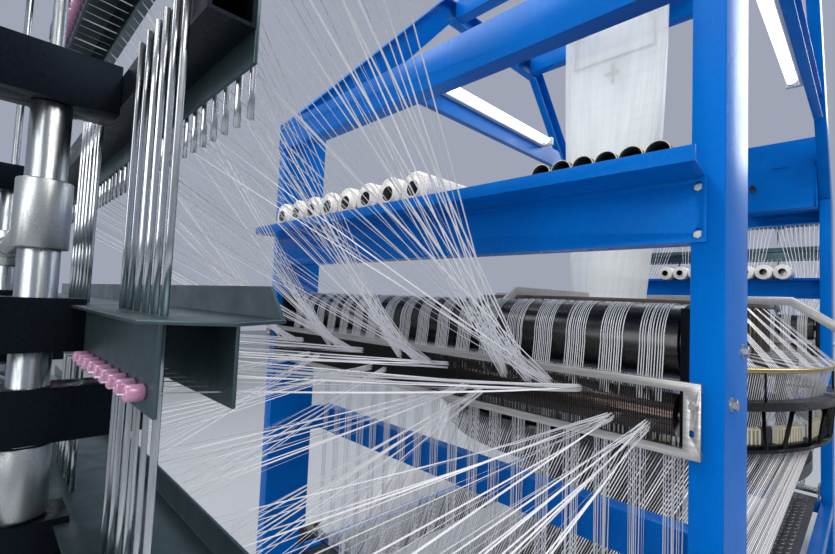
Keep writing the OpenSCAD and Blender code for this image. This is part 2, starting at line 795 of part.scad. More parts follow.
// Shaft with its rotor plate, and an arm with a push roller behind each shuttle
module main_shaft() {
    color("silver") {
        translate([0, 0, bed_top_z - 80 + clear]) cylinder(h = rotor_z + rotor_t + 80 - bed_top_z, d = main_shaft);
        translate([0, 0, rotor_z]) cylinder(h = rotor_t, r = rotor_r);
        ring_of(shuttle_count, 0) {
            translate([rotor_r - 20, -30, rotor_z]) cube([push_r - rotor_r + 20, 60, rotor_t]);
            translate([push_r - 20, 0, rotor_z]) cylinder(h = 120, d = 26);
            translate([push_r - 20, 0, rotor_z + 104]) cylinder(h = 20, d = 52);
        }
    }
}

module gear_motor() {
    color("mediumblue") rotate([0, 0, -90]) translate([-bed_drum_r - 60, 0, 250]) {
        difference() {
            translate([0, -90, -80]) cube([80, 180, 160]);
            translate([bed_drum_r + 60, 0, -100]) cylinder(h = 200, r = bed_drum_r + clear);
        }
        translate([-170, 0, 0]) bar_x(340, 150);
        for (i = [0:7]) translate([-110 - i * 24, 0, 0]) bar_x(6, 172);
        translate([-350, 0, 0]) bar_x(20, 166);
    }
}

// Lower race ring on its columns
module shuttle_race() {
    color("dimgray") {
        translate([0, 0, race_top_z - race_t]) ring_plate(race_in_r, race_out_r, race_t);
        ring_of(column_count, column_start) translate([column_r, 0, bed_top_z])
            cylinder(h = race_top_z - race_t - bed_top_z, d = column_dia);
    }
}

// Boat-shaped shuttles with their weft bobbins, run by two wheels inside the reed
module shuttles() {
    wheel_r = 20;
    wheel_y = 55;
    wheel_x = sqrt(pow(reed_r - 9 - clear - wheel_r, 2) - wheel_y * wheel_y) - shuttle_r;
    color("gold") ring_of(shuttle_count, 12) translate([shuttle_r, 0, shuttle_z]) {
        difference() {
            linear_extrude(shuttle_h, center = true) polygon([
                [-shuttle_d / 2, -shuttle_len / 2 + 60], [-10, -shuttle_len / 2], [20, -shuttle_len / 2 + 30],
                [shuttle_d / 2 - 4, 0], [20, shuttle_len / 2 - 30], [-10, shuttle_len / 2],
                [-shuttle_d / 2, shuttle_len / 2 - 60]]);
            cube([shuttle_d - 34, shuttle_len - 150, shuttle_h + 2], center = true);
        }
        rotate([90, 0, 0]) cylinder(h = shuttle_len - 176, d = shuttle_h - 6, center = true);
        rotate([90, 0, 0]) cylinder(h = shuttle_len - 140, d = 12, center = true);
        for (s = [-1, 1]) {
            translate([10, s * wheel_y - 6, -6]) cube([wheel_x - 10, 12, 12]);
            translate([wheel_x, s * wheel_y, -9]) cylinder(h = 18, r = wheel_r);
        }
    }
}

module tape_ring() {
    color("gold") {
        translate([0, 0, ring_z]) rotate_extrude($fn = 96) translate([ring_r, 0]) circle(d = ring_tube, $fn = 24);
        ring_of(column_count, 11) translate([ring_r, 0, basket_top_z])
            cylinder(h = ring_z - basket_top_z, d = 6, $fn = 16);
    }
}

// Two rings joined by forked struts, and flat spokes to the race
module heald_basket() {
    color("black") {
        translate([0, 0, basket_top_z - basket_band_h]) ring_plate(basket_in_r, basket_out_r, basket_band_h);
        translate([0, 0, basket_low_z]) ring_plate(basket_low_r - 6, basket_low_r + 6, basket_rim);
        ring_of(strut_count, 0) {
            for (s = [-1, 1]) rotate([0, 0, s * 2.6]) strip(
                [basket_low_r, 0, basket_low_z + basket_rim / 2],
                [ring_r - 4, s * 22, basket_top_z - basket_band_h + 1], 8, 8);
        }
        ring_of(column_count, column_start) translate([column_r + column_dia / 2, -10, basket_top_z - basket_band_h])
            cube([basket_in_r - column_r - column_dia / 2 + 5, 20, 10]);
    }
}

module heald_combs() {
    color("cornsilk") ring_of(strut_count, 7.5) translate([comb_block_r - comb_block_d, -62, basket_low_z + 6])
        difference() {
            cube([comb_block_d, 124, comb_block_h + 12]);
            for (i = [0:5]) translate([-1, 12 + i * 19, 26]) cube([comb_block_d + 2, 8, comb_block_h]);
        }
    color("cornsilk") translate([0, 0, basket_low_z + 4])
        ring_plate(comb_block_r - comb_block_d, basket_low_r - 6 - clear, 14);
}

module reed_cylinder() {
    color("saddlebrown") translate([0, 0, reed_z]) {
        ring_plate(reed_r - 12, reed_r, reed_ring_h);
        translate([0, 0, reed_h - reed_ring_h]) ring_plate(reed_r - 12, reed_r, reed_ring_h);
        ring_of(reed_bars, 0) translate([reed_r - 9, -1.5, reed_ring_h]) cube([8, 3, reed_h - 2 * reed_ring_h]);
    }
}

// Plate arms from the reed's top ring over the tape ring down to the basket
module ring_bridge() {
    w = bridge_band;
    color("silver") for (a = [0, 90, 180, 270]) rotate([0, 0, a - 6]) translate([0, bridge_t / 2, 0])
        rotate([90, 0, 0]) linear_extrude(bridge_t) polygon([
            [weave_r + 20, bridge_z], [ring_r - 108, bridge_z], [bridge_out_r - w, bridge_z - 92],
            [bridge_out_r - w, basket_top_z + 8], [basket_in_r + 6, basket_top_z + 8],
            [basket_in_r + 6, basket_top_z], [bridge_out_r, basket_top_z],
            [bridge_out_r, bridge_z - 76], [ring_r - 100, bridge_z + w], [weave_r + 20, bridge_z + w]]);
}

// Half axes of the cloth's section, and how square it is, at a share s of its free height
function cloth_a(s) = weave_r + (cloth_w / 2 - weave_r) * (1 - pow(1 - s, 2));
function cloth_b(s) = weave_r + (nip_gap - 0.5 - weave_r) * (1 - pow(1 - s, 1.7));
function cloth_power(s) = 2 / (2 + 4 * s);
function signed_power(v, e) = sign(v) * pow(abs(v), e);

// Tapes that rise from the floor bars to the heald combs, then on to the tape ring
module rising_tapes() {
    heald_r = comb_block_r - comb_block_d / 2;
    low = [floor_bar_y, floor_bar_z - floor_bar_dia / 2];
    color("whitesmoke") {
        both_portals() for (i = [0:rise_count - 1]) {
            a = -172 + i * 164 / (rise_count - 1);
            top = [heald_r * cos(a), heald_r * sin(a), basket_low_z + 4 - clear];
            x = (i / (rise_count - 1) - 0.5) * 2 * (roller_half - 40);
            reach = floor_bar_y + top[1];
            lean = atan2(top[2] - floor_bar_z, reach);
            off = floor_bar_dia / 2 + 2 * clear;
            strip([x, -floor_bar_y + off * sin(lean), floor_bar_z - off * cos(lean)], top, tape_w, tape_t);
        }
        ring_of(shed_count, 1.5) strip([heald_r, 0, basket_low_z + 18 + comb_block_h + clear],
            [ring_r - ring_tube / 2 - clear - tape_t / 2, 0, ring_z], tape_w, tape_t);
    }
}

// Tapes from the ring through the reed to the weaving ring, every other one lifted
module shed_tapes() {
    seat = clear + tape_t;
    rise = 1.4;
    color("whitesmoke") for (i = [0:shed_count - 1]) rotate([0, 0, 1.5 + i * 360 / shed_count]) {
        z = i % 2 == 0 ? reed_z + reed_ring_h + seat + rise : reed_z + reed_h - reed_ring_h - seat - rise;
        strip([ring_r, 0, ring_z + ring_tube / 2 + seat], [reed_r - 4, 0, z], tape_w, tape_t);
        strip([reed_r - 6, 0, z], [weave_r + weave_wall + clear, 0, weave_z + 3 + (i % 2) * 3], tape_w, tape_t);
    }
}

// Round mouth that holds the edge of the cloth open
module weaving_ring() {
    color("silver") translate([0, 0, weave_z]) {
        ring_plate(weave_r + 2, weave_r + weave_wall, bridge_z - weave_z);
        translate([0, 0, bridge_z - weave_z - 10]) ring_plate(weave_r + 2, weave_r + 34, 10);
    }
}

// Woven tube: round at the weaving ring, flat at the nip, closed wall with open ends
module cloth_tube() {
    levels = 11;
    sides = 32;
    free_z = bridge_z + 12;
    points = [
        for (inset = [0, cloth_t], k = [0:levels]) let (
            s = max(0, min(1, (k - 1) / (levels - 2))),
            z = k == 0 ? weave_z : k < levels ? free_z + s * (nip_z - free_z) : roll_z)
            for (j = [0:sides - 1]) let (a = j * 360 / sides, e = cloth_power(s))
                [(cloth_a(s) - inset) * signed_power(cos(a), e), (cloth_b(s) - inset) * signed_power(sin(a), e), z]
    ];
    half = (levels + 1) * sides;
    walls = [for (k = [0:levels - 1], j = [0:sides - 1], h = [0, 1]) let (
        n = (j + 1) % sides, a = k * sides, b = (k + 1) * sides)
        h == 0 ? [a + j, b + j, b + n] : [a + j, b + n, a + n]];
    top = levels * sides;
    color("white") polyhedron(points = points, faces = concat(
        walls,
        [for (f = walls) [half + f[2], half + f[1], half + f[0]]],
        [for (j = [0:sides - 1], h = [0, 1]) let (n = (j + 1) % sides)
            h == 0 ? [j, n, half + n] : [j, half + n, half + j]],
        [for (j = [0:sides - 1], h = [0, 1]) let (n = (j + 1) % sides)
            h == 0 ? [top + n, top + j, half + top + j] : [top + n, half + top + j, half + top + n]]));
}

// Spoked wheels and centre fitting that spread the tube from inside
module cloth_spreader() {
    z = spreader_z;
    color("dimgray") {
        for (s = [-1, 1]) translate([s * (cloth_w / 2 - 57), spreader_t / 2, z]) rotate([90, 0, 0]) {
            difference() {
                cylinder(h = spreader_t, d = 88);
                for (a = [0:60:300]) rotate([0, 0, a]) translate([25, 0, -1]) cylinder(h = spreader_t + 2, d = 17);
            }
            translate([-5, -170, 1]) cube([10, 130, spreader_t - 2]);
        }
        translate([-(cloth_w / 2 - 57) - 5, -spreader_t / 2 + 1, z - 180])
            cube([cloth_w - 114 + 10, spreader_t - 2, 12]);
        translate([0, 0, z - 290]) cylinder(h = 122, d = spreader_t);
        translate([-32, -spreader_t / 2, z - 250]) cube([64, spreader_t, 14]);
    }
}

// Two bearing plates on the cross beams, with tie bars between them
module take_up_frame() {
    reach = cross_y + cross_d / 2;
    color("royalblue") {
        both_ends() translate([plate_x - plate_t / 2, 0, 0]) difference() {
            rotate([90, 0, 90]) linear_extrude(plate_t) polygon([
                [-reach, tower_h], [reach, tower_h], [reach, tower_h + 30],
                [roll_y + 45, roll_z + 40], [roll_y - 45, roll_z + 40],
                [-nip_y - 50, nip_z + 45], [-reach, tower_h + 30]]);
            for (y = [-nip_y, nip_y]) translate([0, y, nip_z]) bar_x(4 * plate_t, nip_shaft + 2 * fit);
            translate([0, roll_y, roll_z]) bar_x(4 * plate_t, roll_shaft + 2 * fit);
        }
        for (y = [-cross_y, cross_y]) translate([0, y, tower_h + 15]) bar_x(2 * plate_x - plate_t, 18);
    }
}

module nip_roller(y) {
    color("dimgray") translate([0, y, nip_z]) {
        bar_x(2 * nip_half, nip_dia);
        bar_x(2 * plate_x + plate_t + 16, nip_shaft);
    }
}

module nip_roller_front() { nip_roller(-nip_y); }
module nip_roller_back() { nip_roller(nip_y); }

// Cloth wound on its core
module cloth_roll() {
    color("white") translate([0, roll_y, roll_z]) {
        bar_x(cloth_w, roll_dia);
        bar_x(2 * nip_half, roll_core);
        bar_x(2 * plate_x + plate_t + 16, roll_shaft);
    }
}

near_left_post();
near_right_post();
far_left_post();
far_right_post();
near_top_beam();
far_top_beam();
near_bobbin_shelf();
far_bobbin_shelf();
foot_beams();
side_rails();
cross_rails();
walkway_treads();
left_side_frame();
right_side_frame();
lamp_beams();
tower_cross_beams();
lamp_tubes();
lamp_holders();
electrical_box();
box_door();
door_handle();
near_warp_comb();
far_warp_comb();
comb_wires();
bearing_plates();
near_feed_roller();
far_feed_roller();
near_press_roller();
far_press_roller();
tape_bundles();
floor_bars();
warp_tapes();
rising_tapes();
shed_tapes();
weft_bobbins();
empty_tubes();
stand_pipes();
pipe_clamps();
stand_arms();
guide_rails();
eyelet_rails();
eyelets();
drop_wires();
machine_bed();
main_shaft();
gear_motor();
shuttle_race();
shuttles();
tape_ring();
heald_basket();
heald_combs();
reed_cylinder();
ring_bridge();
weaving_ring();
cloth_tube();
cloth_spreader();
take_up_frame();
nip_roller_front();
nip_roller_back();
cloth_roll();
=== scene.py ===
"""Looks of a circular power loom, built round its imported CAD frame."""

from __future__ import annotations

import logging
from dataclasses import dataclass, field
from enum import Enum
from typing import Any, Sequence

import bmesh
import bpy
import numpy as np
from mathutils import Matrix, Vector


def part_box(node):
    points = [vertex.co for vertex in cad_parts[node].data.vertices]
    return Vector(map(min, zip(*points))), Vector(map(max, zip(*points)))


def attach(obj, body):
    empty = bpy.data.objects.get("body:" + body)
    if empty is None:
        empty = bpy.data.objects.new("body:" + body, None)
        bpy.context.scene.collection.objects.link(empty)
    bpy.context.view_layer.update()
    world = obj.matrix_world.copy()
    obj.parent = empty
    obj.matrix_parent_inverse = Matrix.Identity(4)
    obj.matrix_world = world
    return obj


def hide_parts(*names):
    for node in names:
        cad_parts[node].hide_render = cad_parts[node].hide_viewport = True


LOG = logging.getLogger("loom")
Array = np.ndarray
SEED = 41
MM = 0.001

# Both ends of the machine have the same parts: the far ones are the near ones turned half round its axis.
SIDES = (("near", np.array([1.0, 1.0, 1.0])), ("far", np.array([-1.0, -1.0, 1.0])))

# Heights of the six guide levels, which of them are bare rails and which are folded sheets with eyelets.
LEVELS = np.array([1.882, 1.657, 1.4383, 1.192, 0.980, 0.760])
RAIL_LEVELS = np.array([0, 2])
EYE_LEVELS = np.array([1, 3, 4, 5])

# Places of the 48 eyelets along a level, from the last one back by their pitch, and their drop below it.
EYE_PITCH = 0.0244
EYE_X = 0.505 - EYE_PITCH * np.arange(47, -1, -1)
EYE_DROP = 0.028

FILM_THICK = 0.00012

# CAD points closer than this are one, faces that turn less than this are one, and an edge that turns more
# than the sharp angle is rounded over so many faces.
MERGE_DISTANCE = 2e-6
FLAT_RADIANS = 0.01
SHARP_DEGREES = 40
EDGE_FACES = 2

# Length of one full wave of the wave texture where its scale is 1.
WAVE = 0.31416


# Helpers for nodes and colours


def linear(code: str) -> tuple[float, float, float, float]:
    """Turns an sRGB hex value into a linear colour with full alpha.

    Args:
        code: six hex digits after a hash sign.

    Returns:
        Red, green, blue and alpha.
    """
    parts = np.array([int(code[i : i + 2], 16) for i in (1, 3, 5)]) / 255
    low = parts / 12.92
    high = ((parts + 0.055) / 1.055) ** 2.4
    return (*np.where(parts <= 0.04045, low, high).tolist(), 1.0)


def add_node(
    tree: bpy.types.NodeTree,
    kind: str,
    inputs: dict[Any, Any] | None = None,
    **settings: Any,
) -> Any:
    """Adds one shader node, sets its properties and fills or links its inputs.

    Args:
        tree: node tree that gets the node.
        kind: Blender's name of the node type.
        inputs: value or output socket for each input, by name or number.
        **settings: properties of the node itself.

    Returns:
        The new node.
    """
    node = tree.nodes.new(kind)
    for name, value in settings.items():
        setattr(node, name, value)
    for name, value in (inputs or {}).items():
        if isinstance(value, bpy.types.NodeSocket):
            tree.links.new(value, node.inputs[name])
        else:
            node.inputs[name].default_value = value
    return node


class Pattern:
    """The small pattern blocks that the finishes are put together from."""

    def __init__(self, tree: bpy.types.NodeTree) -> None:
        """Keeps the tree and its Object coordinates."""
        self.tree = tree
        self.place = add_node(tree, "ShaderNodeTexCoord").outputs["Object"]

    def use_uv(self) -> None:
        """Switches the pattern to the piece's own UV map, in metres."""
        self.place = add_node(self.tree, "ShaderNodeUVMap", uv_map="UVMap").outputs["UV"]

    def stretched(self, scale: Sequence[float], turn: Sequence[float] = (0, 0, 0)) -> Any:
        """Gives the coordinates scaled and turned for a directed pattern."""
        inputs = {"Vector": self.place, "Scale": tuple(scale), "Rotation": tuple(turn)}
        return add_node(self.tree, "ShaderNodeMapping", inputs).outputs[0]

    def noise(self, cell_mm: float, detail: float = 3, place: Any = None, distortion: float = 0.0) -> Any:
        """Gives a soft noise.

        Args:
            cell_mm: size of a cell, so that the scale is one over it in metres.
            detail: how many finer layers lie on the first.
            place: coordinates, the pattern's own if none are given.
            distortion: how far the cells are bent.

        Returns:
            The value socket.
        """
        inputs = {
            "Vector": place or self.place,
            "Scale": 1 / (cell_mm * MM),
            "Detail": detail,
            "Roughness": 0.55,
            "Distortion": distortion,
        }
        return add_node(self.tree, "ShaderNodeTexNoise", inputs).outputs[0]

    def waves(self, band_mm: float, axis: str = "X", place: Any = None, distortion: float = 0.0) -> Any:
        """Gives even bands along one axis, whose scale is WAVE over two bands in metres.

        Args:
            band_mm: width of a band. A raised and a sunken band make up one wave.
            axis: axis that the bands follow one another on.
            place: coordinates, the pattern's own if none are given.
            distortion: how far the bands are bent.

        Returns:
            The value socket.
        """
        inputs = {
            "Vector": place or self.place,
            "Scale": 1 / (band_mm * MM) * WAVE / 2,
            "Distortion": distortion,
            "Detail": 2.0,
            "Detail Scale": 1.5,
        }
        return add_node(self.tree, "ShaderNodeTexWave", inputs, bands_direction=axis).outputs["Fac"]

    def band(self, value: Any, low: float, high: float, out: tuple[float, float] = (0.0, 1.0)) -> Any:
        """Stretches the part of a value between low and high over out, and clamps the rest."""
        inputs = {0: value, 1: low, 2: high, 3: out[0], 4: out[1]}
        return add_node(self.tree, "ShaderNodeMapRange", inputs, clamp=True).outputs[0]

    def math(self, operation: str, first: Any, second: Any) -> Any:
        """Joins two values with one arithmetic operation."""
        return add_node(self.tree, "ShaderNodeMath", {0: first, 1: second}, operation=operation).outputs[0]

    def mix(self, share: Any, first: Any, second: Any) -> Any:
        """Mixes two colours.

        Args:
            share: how much of the second colour, a number or a socket.
            first: hex value or socket.
            second: hex value or socket.

        Returns:
            The colour socket.
        """
        pick = [linear(c) if isinstance(c, str) else c for c in (first, second)]
        inputs = {"Factor": share, "A": pick[0], "B": pick[1]}
        return add_node(self.tree, "ShaderNodeMix", inputs, data_type="RGBA").outputs[2]

    def bump(self, height: Any, depth_mm: float, strength: float = 1.0) -> Any:
        """Turns a height field of depth_mm into a normal."""
        inputs = {"Height": height, "Distance": depth_mm * MM, "Strength": strength}
        return add_node(self.tree, "ShaderNodeBump", inputs).outputs[0]


# Finishes


@dataclass(frozen=True)
class Finish:
    """One real finish: its colours, gloss and the size of the fine pattern that it shows."""

    name: str
    colour: str
    shade: str
    roughness: float = 0.45
    metallic: float = 0.0
    cell_mm: float = 5.0
    depth_mm: float = 0.05
    spread: float = 0.08
    stretch: tuple[float, float, float] = (1.0, 1.0, 1.0)
    fixed: dict[str, Any] = field(default_factory=dict)

    def build(self) -> bpy.types.Material:
        """Makes the material once and gives it back on later calls.

        Returns:
            The material under the finish's name.
        """
        known = bpy.data.materials.get(self.name)
        if known is not None:
            return known
        material = bpy.data.materials.new(self.name)
        material.use_nodes = True
        tree = material.node_tree
        shader = tree.nodes["Principled BSDF"]
        shader.inputs["Metallic"].default_value = self.metallic
        for socket, value in self.fixed.items():
            shader.inputs[socket].default_value = value
        colour, roughness, normal = self.surface(Pattern(tree))
        tree.links.new(colour, shader.inputs["Base Color"])
        tree.links.new(roughness, shader.inputs["Roughness"])
        tree.links.new(normal, shader.inputs["Normal"])
        material.diffuse_color = linear(self.colour)
        return material

    def rough(self, p: Pattern, value: Any, low: float, high: float) -> Any:
        """Spreads the roughness evenly about its middle while a value goes from low to high."""
        return p.band(value, low, high, (self.roughness - self.spread, self.roughness + self.spread))

    def surface(self, p: Pattern) -> tuple[Any, Any, Any]:
        """Gives a soft two-tone grain, with clouds thirty times its size and a slight relief.

        Args:
            p: pattern blocks of the material.

        Returns:
            Sockets of colour, roughness and normal.
        """
        grain = p.noise(self.cell_mm, 4, p.stretched(self.stretch))
        cloud = p.noise(self.cell_mm * 30, 3)
        share = p.math("MULTIPLY", p.band(grain, 0.35, 0.7), p.band(cloud, 0.3, 0.7, (0.35, 1.0)))
        colour = p.mix(share, self.colour, self.shade)
        rough = self.rough(p, p.math("ADD", grain, cloud), 0.7, 1.3)
        return colour, rough, p.bump(grain, self.depth_mm)


class PowderCoat(Finish):
    """Sprayed and baked polyester: an orange-peel skin with small flecks painted lighter as sparkle
    highlights, and dull handling marks.
    """

    def surface(self, p: Pattern) -> tuple[Any, Any, Any]:
        """Gives the two blues of the coat, upright scuffs 9 mm wide, painted sparkle highlights of 1.6 mm
        and the orange peel.

        Args:
            p: pattern blocks of the material.

        Returns:
            Sockets of colour, roughness and normal.
        """
        cloud = p.noise(220, 3)
        scuff = p.band(p.noise(9, 5, p.stretched((1, 1, 0.12)), 1.2), 0.64, 0.72)
        # Lighter specks 1.6 mm across: painted sparkle highlights.
        painted_sparkle = p.band(p.noise(1.6, 0), 0.66, 0.74)
        colour = p.mix(p.band(cloud, 0.35, 0.65, (0.0, 0.55)), self.colour, self.shade)
        colour = p.mix(p.math("MULTIPLY", scuff, 0.2), colour, "#1482D6")
        colour = p.mix(p.math("MULTIPLY", painted_sparkle, 0.2), colour, "#3A9CEC")
        rough = self.rough(p, cloud, 0.3, 0.7)
        rough = p.math("ADD", rough, p.math("MULTIPLY", scuff, 0.18))
        peel = p.noise(self.cell_mm, 1)
        return colour, rough, p.bump(peel, self.depth_mm)


class BrushedMetal(Finish):
    """Metal with the fine scratches of a belt or of turning, drawn coarser than real so that they show."""

    def surface(self, p: Pattern) -> tuple[Any, Any, Any]:
        """Gives streaks along the stretched axis and faint stains 60 mm across.

        Args:
            p: pattern blocks of the material.

        Returns:
            Sockets of colour, roughness and normal.
        """
        streak = p.noise(self.cell_mm, 4, p.stretched(self.stretch))
        stain = p.noise(60, 4, None, 0.6)
        colour = p.mix(p.band(streak, 0.3, 0.75), self.colour, self.shade)
        colour = p.mix(p.band(stain, 0.6, 0.75, (0.0, 0.3)), colour, self.shade)
        rough = self.rough(p, streak, 0.25, 0.75)
        rough = p.math("ADD", rough, p.band(stain, 0.55, 0.75, (0.0, 0.14)))
        return colour, rough, p.bump(streak, self.depth_mm)


class FilmTape(Finish):
    """Slit and drawn polypropylene film: silky, each tape a little lighter or darker than the next."""

    def surface(self, p: Pattern) -> tuple[Any, Any, Any]:
        """Gives the tone that is kept on each tape, and a fine grain.

        Args:
            p: pattern blocks of the material.

        Returns:
            Sockets of colour, roughness and normal.
        """
        tone = add_node(p.tree, "ShaderNodeAttribute", attribute_name="tone").outputs["Fac"]
        streak = p.noise(self.cell_mm, 2)
        colour = p.mix(tone, self.shade, self.colour)
        return colour, self.rough(p, streak, 0.3, 0.7), p.bump(streak, self.depth_mm)


class WoundTape(Finish):
    """Tape wound crosswise on a tube: two sets of slanting bands that cross on the barrel."""

    def surface(self, p: Pattern) -> tuple[Any, Any, Any]:
        """Gives bands 3.2 mm wide on the UV map, slanting by 1.25 radians both ways, with painted shade in
        the sunken gaps between them, and soil.

        Args:
            p: pattern blocks of the material.

        Returns:
            Sockets of colour, roughness and normal.
        """
        p.use_uv()
        right = p.waves(3.2, "X", p.stretched((1, 1, 1), (0, 0, 1.25)), 0.4)
        left = p.waves(3.2, "X", p.stretched((1, 1, 1), (0, 0, -1.25)), 0.4)
        weave = p.math("MAXIMUM", right, left)
        soil = p.noise(30, 3)
        # Painted shade: the sunken gaps between the bands take the darker colour.
        colour = p.mix(p.band(weave, 0.25, 0.8), self.shade, self.colour)
        colour = p.mix(p.band(soil, 0.55, 0.8, (0.0, 0.35)), colour, self.shade)
        rough = p.band(weave, 0.0, 1.0, (self.roughness + self.spread, self.roughness - self.spread))
        return colour, rough, p.bump(weave, self.depth_mm)


class WovenCloth(Finish):
    """Plain weave of flat tapes 2.5 mm wide, with the uneven bands that light makes in it."""

    def surface(self, p: Pattern) -> tuple[Any, Any, Any]:
        """Gives warp and weft ridges on the UV map with painted shade in the hollows between them, and long
        streaks along the warp and soft bands across as painted light.

        Args:
            p: pattern blocks of the material.

        Returns:
            Sockets of colour, roughness and normal.
        """
        p.use_uv()
        warp = p.waves(2.5, "X")
        weft = p.waves(2.5, "Y")
        crossing = p.math("ADD", p.math("MULTIPLY", warp, 0.5), p.math("MULTIPLY", weft, 0.5))
        streak = p.noise(14, 4, p.stretched((1, 0.04, 1)))
        across = p.noise(55, 2, p.stretched((0.15, 1, 1)))
        # Painted light: the streaks and bands stand for the uneven light on the cloth.
        share = p.math("ADD", p.band(streak, 0.35, 0.7, (0.0, 0.7)), p.band(across, 0.5, 0.75, (0.0, 0.3)))
        colour = p.mix(share, self.colour, self.shade)
        # Painted shade: the hollows between the warp and weft ridges are darker.
        colour = p.mix(p.band(crossing, 0.1, 0.35, (0.35, 0.0)), colour, self.shade)
        return colour, self.rough(p, streak, 0.3, 0.7), p.bump(crossing, self.depth_mm, 0.8)


class LitTube(Finish):
    """Fluorescent glass tube: white phosphor that glows evenly along the whole tube."""

    def surface(self, p: Pattern) -> tuple[Any, Any, Any]:
        """Gives an even white with a faint cloud in the phosphor.

        Args:
            p: pattern blocks of the material.

        Returns:
            Sockets of colour, roughness and normal.
        """
        shader = p.tree.nodes["Principled BSDF"]
        shader.inputs["Emission Color"].default_value = linear("#F4F9FF")
        shader.inputs["Emission Strength"].default_value = 2.2
        return super().surface(p)


# In the tables below a finish holds: name, colour, shade, roughness, metallic, size of the grain and depth
# of the relief in millimetres, spread of the roughness, stretch of the grain, values fixed on the shader.

EVEN = (1, 1, 1)


class Metal(Enum):
    """Metals and platings on the loom."""

    # Milled bars: pale and soft, with streaks along their length.
    COMB = BrushedMetal("machined_aluminium", "#C9C7C4", "#A19F9C", 0.38, 0.9, 3.0, 0.01, 0.1, (0.05, 1, 1))
    # Anodised sheet: pale, even and half dull.
    GUARD = BrushedMetal(
        "anodised_guard_aluminium", "#BEBDBA", "#A8A7A4", 0.34, 0.85, 3.0, 0.005, 0.06, (1, 1, 0.1)
    )
    # Turned bar: bright, with the light drawn out along it.
    SHAFT = BrushedMetal("turned_steel", "#C9C9C8", "#9A9A9A", 0.24, 1.0, 2.0, 0.004, 0.08, (0.1, 1, 1))
    # Belt ground pipe: soft bright bands that run up and down.
    PIPE = BrushedMetal(
        "satin_stainless_pipe", "#B6BCBE", "#858B8D", 0.3, 1.0, 3.0, 0.01, 0.08, (1, 1, 0.1)
    )
    # Sand casting: dull light grey with a fine pitted skin.
    CLAMP = Finish("sand_cast_aluminium", "#B9BDBC", "#93989A", 0.4, 0.95, 1.6, 0.05, 0.1)
    # Oiled wire: nearly black, with a thin line of light.
    DARK_WIRE = BrushedMetal("oiled_steel_wire", "#4A4A4A", "#1E1E1F", 0.4, 0.9, 2.0, 0.01, 0.1)
    # Roller worn smooth by film: brown grey with a long sharp highlight.
    BRONZE = BrushedMetal(
        "burnished_gunmetal_roller", "#6B5D57", "#43372F", 0.22, 0.85, 3.0, 0.01, 0.1, (0.06, 1, 1)
    )
    # Plated ring: warm yellow, polished by the tapes.
    GOLD = BrushedMetal("brass_plated_ring", "#CDB97E", "#A68F54", 0.2, 1.0, 4.0, 0.006, 0.07)
    # Folded zinc sheet: dark green grey with broad faint crystals.
    ZINC = Finish("galvanised_sheet", "#52666A", "#3E4E52", 0.32, 0.8, 30.0, 0.01, 0.08)
    # Drop wire polished by use: nearly white where it catches a lamp, and dark beside it.
    DROP = BrushedMetal(
        "polished_drop_wire_steel", "#D2D5D7", "#9CA0A3", 0.24, 1.0, 3.0, 0.004, 0.08, (1, 1, 0.05)
    )
    # Zinc plating: light grey with a soft gleam on each flat.
    ZINC_BOLT = Finish("zinc_plated_bolt", "#C4C4C0", "#8C8B86", 0.34, 0.95, 1.5, 0.01, 0.08)
    # Steel worn bare by shoes: grey, scratched one way and stained.
    WORN_STEEL = BrushedMetal(
        "worn_tread_steel", "#8E8D8A", "#4A4A49", 0.4, 0.9, 5.0, 0.05, 0.12, (1, 0.3, 1)
    )


class Coat(Enum):
    """Paints and powder coats."""

    # Deep clear blue whose gloss stays blue, so that broad faces don't turn pale.
    AZURE = PowderCoat(
        "azure_powder_coat", "#0069C6", "#0056AC", 0.3, 0.0, 1.8, 0.05, 0.07, EVEN,
        {"Specular IOR Level": 0.24, "Specular Tint": (0.10, 0.45, 1.0, 1.0)},
    )
    # Poured enamel: deep black with a narrow highlight.
    BLACK = Finish(
        "black_gloss_enamel", "#070708", "#0E0F10", 0.3, 0.0, 3.0, 0.01, 0.08, EVEN,
        {"Specular IOR Level": 0.3},
    )
    # Sprayed satin paint: black with a faint cold sheen.
    SATIN_BLACK = Finish(
        "black_satin_paint", "#0B0D10", "#14171C", 0.34, 0.0, 4.0, 0.02, 0.1, EVEN,
        {"Specular IOR Level": 0.16, "Specular Tint": (0.4, 0.6, 1.0, 1.0)},
    )
    # Brushed enamel on a casting: dark grey, a little uneven.
    BED = Finish("grey_machine_enamel", "#2E3236", "#202326", 0.45, 0.0, 3.0, 0.05, 0.1)
    # The same enamel in the motor maker's blue.
    MOTOR = Finish("blue_machine_enamel", "#1C5AA6", "#16467F", 0.45, 0.0, 2.5, 0.05, 0.1)
    # Paint on a tread: black, rubbed dull and dusty.
    TREAD = Finish("black_tread_paint", "#16181B", "#2B2D30", 0.4, 0.0, 6.0, 0.06, 0.14)
    # Baked enamel of lamp fittings: clean cool white.
    WHITE = Finish("white_lamp_fitting_enamel", "#E6E8EA", "#CFD2D6", 0.35, 0.0, 3.0, 0.02, 0.08)


